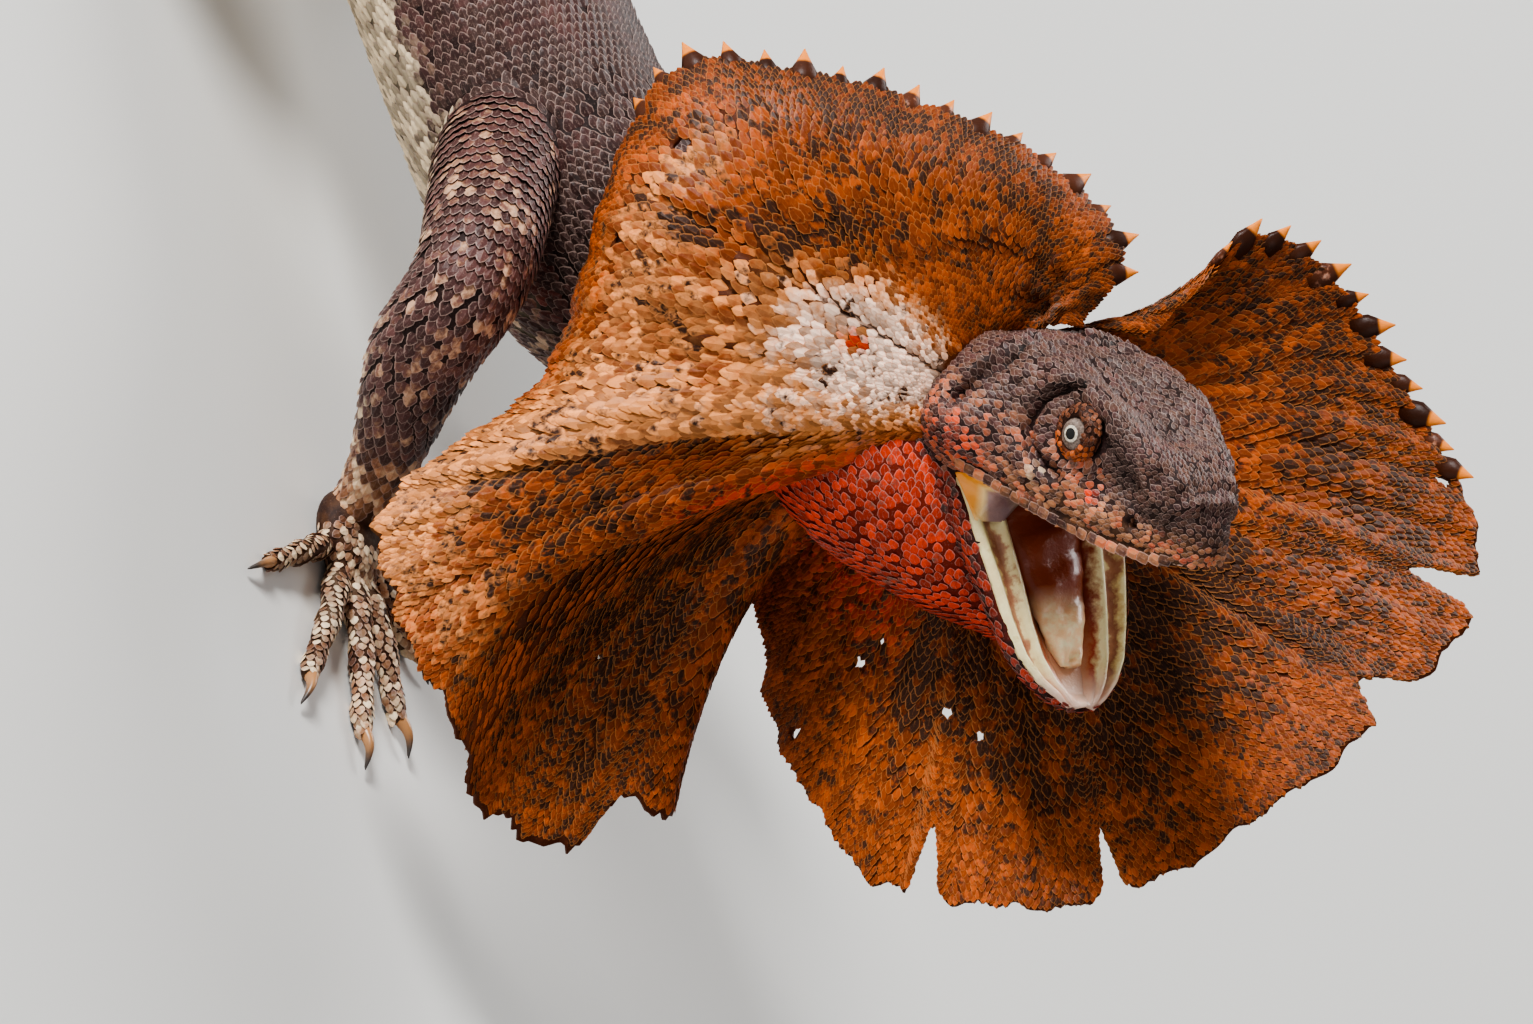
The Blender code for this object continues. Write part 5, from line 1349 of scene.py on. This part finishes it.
def frill_spots(face, first, last):
    """Rows of scale roots along the rim and in from it, on the front (1) or back (-1) face."""
    fine = np.linspace(first, last, int((last - first) * 60) + 1)
    reach = rim_share(fine)
    steps = np.linspace(0.0, 1.0, OUTWARD_STEPS)
    web = frill_place(fine[:, None] * np.ones(OUTWARD_STEPS), steps[None] * reach[:, None])
    pieces = np.linalg.norm(np.diff(web, axis=1), axis=2)
    from_root = np.cumsum(pieces, axis=1)
    size = frill_scale_size(fine[:, None], from_root[:, -1:] - from_root, from_root)
    counted = np.cumsum((pieces / (SCALE_PITCH * size))[:, ::-1], axis=1)
    rays, shares, sizes, chosen = [], [], [], None
    for number in range(int(counted.max())):
        place = number + 0.3
        share = np.array([np.interp(place, line, steps[-2::-1]) for line in counted]) * reach
        share[counted[:, -1] < place + 0.4] = -1.0
        here = np.maximum(share, 0.0)
        line = frill_place(fine, here)
        at = np.clip((here / reach * (OUTWARD_STEPS - 1)).astype(int), 0, OUTWARD_STEPS - 2)
        local = size[np.arange(len(fine)), at]
        strides = np.linalg.norm(np.diff(line, axis=0), axis=1) / local[1:] / SCALE_SPACING
        walked = np.concatenate([[0.0], np.cumsum(strides)])
        before = np.arange(0.0, walked[-1] + 1.0) if chosen is None else np.interp(chosen, fine, walked)
        chosen = np.interp(fitted((before[1:] + before[:-1]) / 2, -0.5, walked[-1] + 0.5), walked, fine)
        shares_here = np.interp(chosen, fine, share)
        whole = shares_here > 0.03
        rays.append(chosen[whole])
        shares.append(shares_here[whole])
        sizes.append(np.interp(chosen, fine, local)[whole])
    rays, shares, sizes = (np.concatenate(parts) for parts in (rays, shares, sizes))
    rays = np.clip(rays + chance.normal(0, 0.006, len(rays)), first, last)
    spots, facing, outward = frill_surface(rays, shares)
    facing = facing * face
    spots = spots + facing * (MEMBRANE * 0.5)
    kept = np.ones(len(spots), bool)
    for hole_ray, hole_out, wide, long in HOLES:
        centre, _f, _o = frill_surface(np.array(hole_ray), np.array(hole_out))
        kept &= np.linalg.norm(spots - centre, axis=1) > max(wide, long) + 0.5
    lie = unit(outward + facing * 0.10 + chance.normal(0, 0.04, spots.shape))
    facing = unit(square_to(facing, lie))
    size = sizes * chance.uniform(0.94, 1.06, len(sizes))
    girth = np.stack([SCALE_WIDTH * size, SCALE_LENGTH * size, SCALE_THICK * size], axis=1)
    half = 0.5 if face < 0 else 0.0                     # of the bake map, one for each face
    unwrap = np.stack([0.02 + 0.96 * rays / LAST_RAY, 0.02 + 0.47 * shares + half], axis=1)
    shades = frill_markings(rays, shares)
    return [part[kept] for part in (spots, facing, lie, girth, shades, unwrap)]


for name, first, last in (("frill_scales_right", 0.0, 13.4), ("frill_scales_fold", 13.4, 19.6),
                          ("frill_scales_throat", 19.6, 26.0), ("frill_scales_left", 26.0, 35.0)):
    faces = [frill_spots(face, first, last) for face in (1.0, -1.0)]
    lay_scales(name, keeled, *(np.concatenate(parts) for parts in zip(*faces)), frill_scales, "frill")

# The rim's spikes: enlarged, upright scales along the two upper edges, dark with orange tips.
SPIKED = ((0.6, 6.6), (29.2, 33.7))
SPIKE_HEIGHT, SPIKE_HALF, SPIKE_PITCH = 4.0, 2.0, 5.8
# A spike's height, half width and half thickness, from below its root to its tip.
THORN = [(-0.7, 0.9, 0.42), (0.0, 1.0, 0.46), (0.3, 0.70, 0.36), (0.5, 0.50, 0.28), (0.75, 0.26, 0.16),
         (1.0, 0.05, 0.04)]
FRONT = FRILL_AXES[2]                                   # the way the frill's front faces


def thorn():
    rings = []
    for height, wide, thick in THORN:
        rings.append([(wide * math.cos(t), height, thick * math.sin(t)) for t in np.arange(8) * math.pi / 4])
    points, faces = skinned(rings)
    thing = mesh_object("thorn", points, faces)
    facing_out(thing)
    keep_value(thing.data, "edge", 0.3 + 0.7 * np.clip((points[:, 1] - 0.05) * 2.4, 0.0, 1.0))
    return thing


thorn_plate = thorn()
spike_rays = []
for start, end in SPIKED:
    fine = np.linspace(start, end, 240)
    rim = frill_place(fine, rim_share(fine))
    walked = walked_along(rim)
    count = int(walked[-1] / SPIKE_PITCH)
    spike_rays.append(np.interp((np.arange(count) + 0.5) * walked[-1] / count, walked, fine))
spike_rays = np.concatenate(spike_rays)
spots, facing, outward = frill_surface(spike_rays, rim_share(spike_rays))
outward = unit(outward + 0.55 * FRONT * np.abs(outward @ FRONT)[:, None])
facing = unit(square_to(facing, outward))
size = 1.0 + 0.18 * np.sin(np.arange(len(spike_rays)) * 2.4)
girth = np.stack([SPIKE_HALF * size, SPIKE_HEIGHT * size, SPIKE_HALF * 1.1 * size], axis=1)
SPIKE_COLOURS = {**FRILL_COLOURS, "Ground": (0.060, 0.018, 0.008), "Edge": (0.80, 0.24, 0.040)}
spike_finish = scaly("rim_spikes", SPIKE_COLOURS, 0.3, 1.0, 0.4, flecks=0.0)
lay_scales("rim_spikes", thorn_plate, spots, facing, outward, girth, np.zeros((len(spots), 4)),
           np.stack([spike_rays / (LAST_RAY + 1), np.full(len(spots), 0.5)], axis=1), spike_finish, "frill")

# The lip plates: one row of squarish horny scales along the edge of the upper lip, each a little
# raised, tan on a charcoal snout.
LIP_PLATE = (1.7, 2.1, 1.3)                             # width, length and height, in millimetres
LIP_OUTLINE = [(0, -0.52, 0.02), (0.46, -0.44, 0.02), (0.52, 0.0, 0.04), (0.46, 0.44, 0.05),
               (0, 0.52, 0.06), (-0.46, 0.44, 0.05), (-0.52, 0.0, 0.04), (-0.46, -0.44, 0.02)]
lip_plate = plate("lip_plate", LIP_OUTLINE, [(0, -0.22, 0.2), (0, 0.22, 0.22)], -0.2)


def lip_spots():
    """Places and facings of the plates, from the mouth's corner to the snout on each side."""
    spots, facing = [], []
    forward = np.linspace(7.0, 48.5, 260)
    lip, lip_up = read_row(skull_table, forward, 1), read_row(skull_table, forward, 2)
    for side in (-1.0, 1.0):
        line = beside(side, np.stack([forward, lip + 1.5, lip_up + 1.2], axis=1))
        walked = walked_along(line)
        for place in np.arange(0.0, walked[-1], LIP_PLATE[1] * 0.93):
            spot = [np.interp(place, walked, line[:, k]) for k in range(3)]
            down, out = hide_tree.find_nearest(Vector(spot))[:2]
            spots.append(tuple(down))
            facing.append(tuple(out))
    return np.array(spots), np.array(facing)


body_scales = scaly("body_scales", HIDE_COLOURS, 0.45, 0.5, 0.46, shine=0.22)
lip_places, lip_facing = lip_spots()
count = len(lip_places)
lay_scales("lip_plates", lip_plate, lip_places, lip_facing,
           unit(square_to(np.tile(-SKULL_AXES[0], (count, 1)), lip_facing)), np.tile(LIP_PLATE, (count, 1)),
           np.tile([0.05, 0.28, 0.12, 0.62], (count, 1)),
           np.stack([np.linspace(0.02, 0.98, count), np.full(count, 0.5)], axis=1), body_scales, "skin")

# The lids' scales: tiny keeled grains strewn over the outer side of each ring of lid, brown above
# and orange below.
LID_SCALE, LID_TRIES = 0.72, 14.0                       # millimetres apart, and tries in a square millimetre


def strewn_over(mesh, density):
    """Random places on a mesh near the head, with their facings."""
    mesh.calc_loop_triangles()
    corners = np.empty(len(mesh.loop_triangles) * 3, int)
    mesh.loop_triangles.foreach_get("vertices", corners)
    triangles = places_of(mesh)[corners.reshape(-1, 3)]
    near = np.linalg.norm(triangles.mean(axis=1) - in_head((14.0, 0.0, 0.0)), axis=1) < 52.0
    triangles = triangles[near]
    cross = np.cross(triangles[:, 1] - triangles[:, 0], triangles[:, 2] - triangles[:, 0])
    area = np.linalg.norm(cross, axis=1) / 2
    chosen = chance.choice(len(triangles), int(area.sum() * density), p=area / area.sum())
    a, b = chance.random((2, len(chosen)))
    a, b = np.where(a + b > 1, 1 - a, a), np.where(a + b > 1, 1 - b, b)
    spots = (triangles[chosen, 0] + a[:, None] * (triangles[chosen, 1] - triangles[chosen, 0])
             + b[:, None] * (triangles[chosen, 2] - triangles[chosen, 0]))
    return spots, unit(cross[chosen])


def clear_of_rest(spots, apart):
    """Numbers of the spots that keep their distance from those before them."""
    taken, kept = {}, []
    for number, spot in enumerate(spots):
        cell = tuple((spot // 1.4).astype(int))
        close = False
        for i in (-1, 0, 1):
            for j in (-1, 0, 1):
                for k in (-1, 0, 1):
                    for other in taken.get((cell[0] + i, cell[1] + j, cell[2] + k), ()):
                        close = close or np.dot(spot - spots[other], spot - spots[other]) < apart[number] ** 2
        if not close:
            taken.setdefault(cell, []).append(number)
            kept.append(number)
    return kept


spots, facing = strewn_over(lids.data, LID_TRIES)
side = np.sign(on_head(spots)[:, 1])
right = side[:, None] < 0
centres = np.where(right, beside(-1.0, EYE), beside(1.0, EYE))
kept = np.flatnonzero(((spots - centres) * facing).sum(axis=1) > 2.0)
kept = kept[clear_of_rest(spots[kept], np.full(len(kept), LID_SCALE))]
spots, facing, centres, right = spots[kept], facing[kept], centres[kept], right[kept]
lie = unit(np.cross(facing, np.where(right, eye_axes(-1.0)[0], eye_axes(1.0)[0])))
high = (unit(spots - centres) * np.where(right, eye_axes(-1.0)[2], eye_axes(1.0)[2])).sum(axis=1)
upper = ramp(high, -0.3, 0.3)
lid_shades = np.stack([0 * upper, 0.85 * (1 - upper), 0.22 + 0.1 * upper, 0.5 * upper], axis=1)
unwrap = 0.5 + 0.04 * np.stack([high * 5, (spots - centres) @ SKULL_AXES[0]], axis=1)
girth = np.tile(LID_SCALE * np.array([1.35, 1.5, 1.1]), (len(spots), 1))
lay_scales("scales_lids", keeled, spots, facing, lie, girth, lid_shades, unwrap,
           scaly("lid_scales", LID_COLOURS, 0.6, 0.2, 0.5, flecks=0.3), "skin")

# The coat of the body: keeled scales in slanting rows along trunk, tail, legs and toes, every tip
# toward the tail or the toes, and pale at their edges. They are laid on the swept forms and set
# down on the hide, and those that fall inside another form are left out.
COATS = {
    # pitch along, spacing round, length, width, height of a scale, in millimetres
    "trunk": (2.0, 1.9, 3.2, 2.4, 1.6),
    "arm": (2.0, 1.9, 3.2, 2.4, 1.8), "leg": (2.0, 1.9, 3.2, 2.4, 1.8), "toe": (1.25, 1.35, 1.9, 1.6, 1.2),
}
SCATTERED = {"skull": 1.0, "jaw": 1.1, "pouch": 1.25}   # kinds laid without rows, and how far apart
COAT_TRIES = 5.5                                        # in a square millimetre of the head
TAIL_START = 0.36                                       # share of the trunk's form


def thinned(spots, girth):
    """Marks the spots that keep clear of the ones before them."""
    tree, kept = KDTree(len(spots)), np.zeros(len(spots), bool)
    for number, spot in enumerate(spots):
        tree.insert(spot, number)
    tree.balance()
    for number, spot in enumerate(spots):
        near = [other for _place, other, _apart in tree.find_range(spot, girth[number, 0] * 0.62)]
        kept[number] = not any(kept[other] for other in near if other < number)
    return kept


def inside_mouth(spots, facing):
    """Places on the trough, the palate, the eyes, the nostrils and the ears, which carry no scales."""
    head, jaw = on_head(spots), on_head(spots, JAW_AXES)
    lip, lip_up = read_row(jaw_table, jaw[:, 0], 1), read_row(jaw_table, jaw[:, 0], 2)
    ahead, off_middle = jaw[:, 0] > 3, np.abs(jaw[:, 1])
    bare = (jaw[:, 0] < 48) & (jaw[:, 2] > lip_up - 1.0) & (jaw[:, 2] < 4.0) & (off_middle < lip + 0.5)
    upward = facing @ JAW_AXES[2] > 0.2
    bare |= upward & (off_middle < lip * 0.9) & (head[:, 2] < 0.0) & (jaw[:, 2] > -6)
    bare &= ahead
    skull_lip = read_row(skull_table, head[:, 0], 1)
    downward = facing @ SKULL_AXES[2] < -0.35
    under_roof = (np.abs(head[:, 1]) < skull_lip * 0.97) & (head[:, 2] < 4.5) & (head[:, 2] > -4)
    bare |= (head[:, 0] > 3) & downward & under_roof
    for side in (-1.0, 1.0):
        for place, reach in ((EYE, 4.9), (NOSTRIL, 1.5), (EAR, 2.7)):
            bare |= np.linalg.norm(spots - beside(side, place), axis=1) < reach
    return bare


def scattered_spots():
    """Scale roots strewn over the head and throat, each clear of the rest, all lying backward."""
    spots, facing = strewn_over(hide.data, COAT_TRIES)
    where = whereabouts(spots)
    kinds = np.array([form_names[int(n)].split("_")[0] for n in where[:, 0]])
    apart = np.select([kinds == kind for kind in SCATTERED], list(SCATTERED.values()), 0.0)
    by_lip = KDTree(len(lip_places))
    for number, place in enumerate(lip_places):
        by_lip.insert(place, number)
    by_lip.balance()
    from_lip = np.array([by_lip.find(spot)[2] for spot in spots])
    wanted = (apart > 0) & ~inside_mouth(spots, facing) & (from_lip > 1.15) & (line_depth(spots) < 1.0)
    spots, facing, where, apart = spots[wanted], facing[wanted], where[wanted], apart[wanted]
    head = on_head(spots)
    apart = apart * np.where(head[:, 0] > 20, 1 - 0.26 * ramp(head[:, 0], 24.0, 40.0), 1.0)
    kept = clear_of_rest(spots, apart)
    spots, facing, where, apart = spots[kept], facing[kept], where[kept], apart[kept]
    lies = np.tile(-SKULL_AXES[0], (len(spots), 1))
    for side in (-1.0, 1.0):
        away = spots - beside(side, EYE)
        reach = np.linalg.norm(away, axis=1)
        lies += unit(away) * (1.4 * (1 - ramp(reach, 5.0, 9.0)))[:, None]
    hung = kinds_mask(where[:, 0].astype(int), "pouch", "jaw")
    lies[hung] = -JAW_AXES[0] + 0.2 * JAW_AXES[2]
    size = apart * chance.uniform(0.86, 1.16, len(spots))
    girth = np.stack([1.42 * size, 1.85 * size, 1.05 * size], axis=1)
    return spots, facing, lies, girth, where


def coat_spots(name, rings):
    """Scale roots in staggered rows round a form, set down on the hide."""
    kind = "toe" if "toe" in name else name.split("_")[0]
    pitch, spacing, long, wide, high = COATS[kind]
    steps = np.linalg.norm(np.diff(rings, axis=0), axis=2)
    walked = np.concatenate([[0.0], np.cumsum(np.percentile(steps, 85, axis=1))])
    girths = np.linalg.norm(np.diff(rings, axis=1, append=rings[:, :1]), axis=2).sum(axis=1)
    spots, lies, sizes, where, turned = [], [], [], [], None
    distance = pitch * 0.5
    while distance < walked[-1]:
        at = np.interp(distance, walked, np.arange(len(rings)))
        low = min(int(at), len(rings) - 2)
        ring = rings[low] * (1 - at + low) + rings[low + 1] * (at - low)
        ahead = unit(rings[low + 1] - rings[low])
        girth = np.interp(distance, walked, girths)
        size = 1.0 if kind != "trunk" else min(1.0, 0.62 + 0.38 * girth / 60.0)
        closed = np.concatenate([ring, ring[:1]])
        round_walked = walked_along(closed)
        count = max(5.0, girth / (spacing * size))
        if turned is None:
            turned = np.arange(int(count)) / int(count)
        between = count * (turned + np.append(turned[1:], turned[0] + 1)) / 2
        turned = np.concatenate([between[:1], fitted(between[1:], between[0], between[0] + count)]) / count
        turn = turned % 1.0 * round_walked[-1]
        spots.append(np.stack([np.interp(turn, round_walked, closed[:, k]) for k in range(3)], axis=1))
        ahead = np.concatenate([ahead, ahead[:1]])
        lies.append(np.stack([np.interp(turn, round_walked, ahead[:, k]) for k in range(3)], axis=1))
        sizes.append(np.full(len(turn), size))
        form, along = np.full(len(turn), form_names.index(name)), np.full(len(turn), distance / walked[-1])
        where.append(np.stack([form, along, turn / round_walked[-1]], axis=1))
        distance += pitch * size
    spots, lies, sizes, where = (np.concatenate(parts) for parts in (spots, lies, sizes, where))
    found = [hide_tree.find_nearest(Vector(spot), 2.6) for spot in spots]
    kept = np.array([hit[0] is not None for hit in found])
    down = np.array([tuple(hit[0]) for hit in found if hit[0] is not None])
    facing = np.array([tuple(hit[1]) for hit in found if hit[0] is not None])
    girth = np.array([wide, long, high]) * (sizes[kept] * chance.uniform(0.9, 1.1, kept.sum()))[:, None]
    return down, facing, lies[kept], girth, where[kept]


order = ["trunk"] + [name for name in form_names if name.startswith(("arm", "leg"))]
laid = [scattered_spots()] + [coat_spots(name, forms[name]) for name in order]
spots, facing, lies, girth, where = (np.concatenate(parts) for parts in zip(*laid))
strewn = len(laid[0][0])
kept = thinned(spots, girth)
kept[:strewn] = True
kept = kept & ~inside_mouth(spots, facing) & ~((spots[:, 2] < 0.9) & (facing[:, 2] < -0.6))
spots, facing, lies, girth, where = (part[kept] for part in (spots, facing, lies, girth, where))
lies = unit(unit(square_to(lies, facing)) + facing * 0.12 + chance.normal(0, 0.05, spots.shape))
facing = unit(square_to(facing, lies))
shades = markings(spots, facing, where)
numbers = where[:, 0].astype(int)
on_tail = where[:, 1] >= TAIL_START
coat_pieces = {
    "scales_head": kinds_mask(numbers, "skull", "jaw", "pouch"),
    "scales_trunk": kinds_mask(numbers, "trunk") & ~on_tail,
    "scales_tail": kinds_mask(numbers, "trunk") & on_tail,
    "scales_legs_right": np.array([form_names[n].startswith(("arm_right", "leg_right")) for n in numbers]),
    "scales_legs_left": np.array([form_names[n].startswith(("arm_left", "leg_left")) for n in numbers]),
}
for name, chosen in coat_pieces.items():
    cells = np.unique(numbers[chosen])
    cell = np.searchsorted(cells, numbers[chosen])
    _form, along, round_it = where[chosen].T
    unwrap = np.stack([(cell + 0.03 + 0.94 * round_it) / len(cells), 0.02 + 0.96 * along], axis=1)
    lay_scales(name, keeled, *(part[chosen] for part in (spots, facing, lies, girth, shades)), unwrap,
               body_scales, "skin")
for shape in (keeled, lip_plate, thorn_plate):
    bpy.data.objects.remove(shape, do_unlink=True)

# The floor, the light and the camera: a pale plain floor, a broad soft light over the camera's
# left shoulder and a fill, and the camera turned and rolled to the photo's framing.
FLOOR_HALF = 9.0
REACH, LENS, SENSOR = 1200.0, 174.7, 36.0
floor = mesh_object("floor", FLOOR_HALF * np.array([(-1, -1, 0), (1, -1, 0), (1, 1, 0), (-1, 1, 0)]),
                    [(0, 1, 2, 3)])
floor_paint, _tree, _shader = new_finish("floor_paint", Base_Color=(0.72, 0.71, 0.68, 1), Roughness=0.8)
floor.data.materials.append(floor_paint)

camera_right, camera_up, camera_back = FRILL_AXES
aim = FRILL_ROOT - 37.3 * camera_right - 14.8 * camera_up
spot = to_world(aim + REACH * camera_back)
camera = bpy.data.objects.new("camera", bpy.data.cameras.new("camera"))
camera.data.lens = LENS
camera.data.sensor_width = SENSOR
turned = Matrix([list(column) for column in FRILL_AXES.T]).to_4x4()
camera.matrix_world = Matrix.Translation(Vector(spot)) @ turned
bpy.context.collection.objects.link(camera)
bpy.context.scene.camera = camera


def soft_light(name, offset, size, power):
    lamp = bpy.data.objects.new(name, bpy.data.lights.new(name, "AREA"))
    lamp.data.shape = "DISK"
    lamp.data.size = size
    lamp.data.energy = power
    place = Vector(to_world(aim)) + Vector(offset)
    turn = Vector(offset).to_track_quat("Z", "Y").to_matrix().to_4x4()
    lamp.matrix_world = Matrix.Translation(place) @ turn
    bpy.context.collection.objects.link(lamp)


soft_light("key", 1.35 * camera_up + 0.75 * camera_back - 0.1 * camera_right, 0.45, 36.0)
soft_light("fill", -0.6 * camera_up + 1.4 * camera_back + 0.5 * camera_right, 1.2, 6.0)
soft_light("back", (0.9, 0.5, 0.9), 0.8, 12.0)
bpy.context.scene.view_settings.look = "AgX - Medium High Contrast"
world = bpy.data.worlds.new("studio")
world.use_nodes = True
sky = world.node_tree.nodes["Background"].inputs
sky["Color"].default_value = (0.95, 0.97, 1.0, 1)
sky["Strength"].default_value = 0.28
bpy.context.scene.world = world
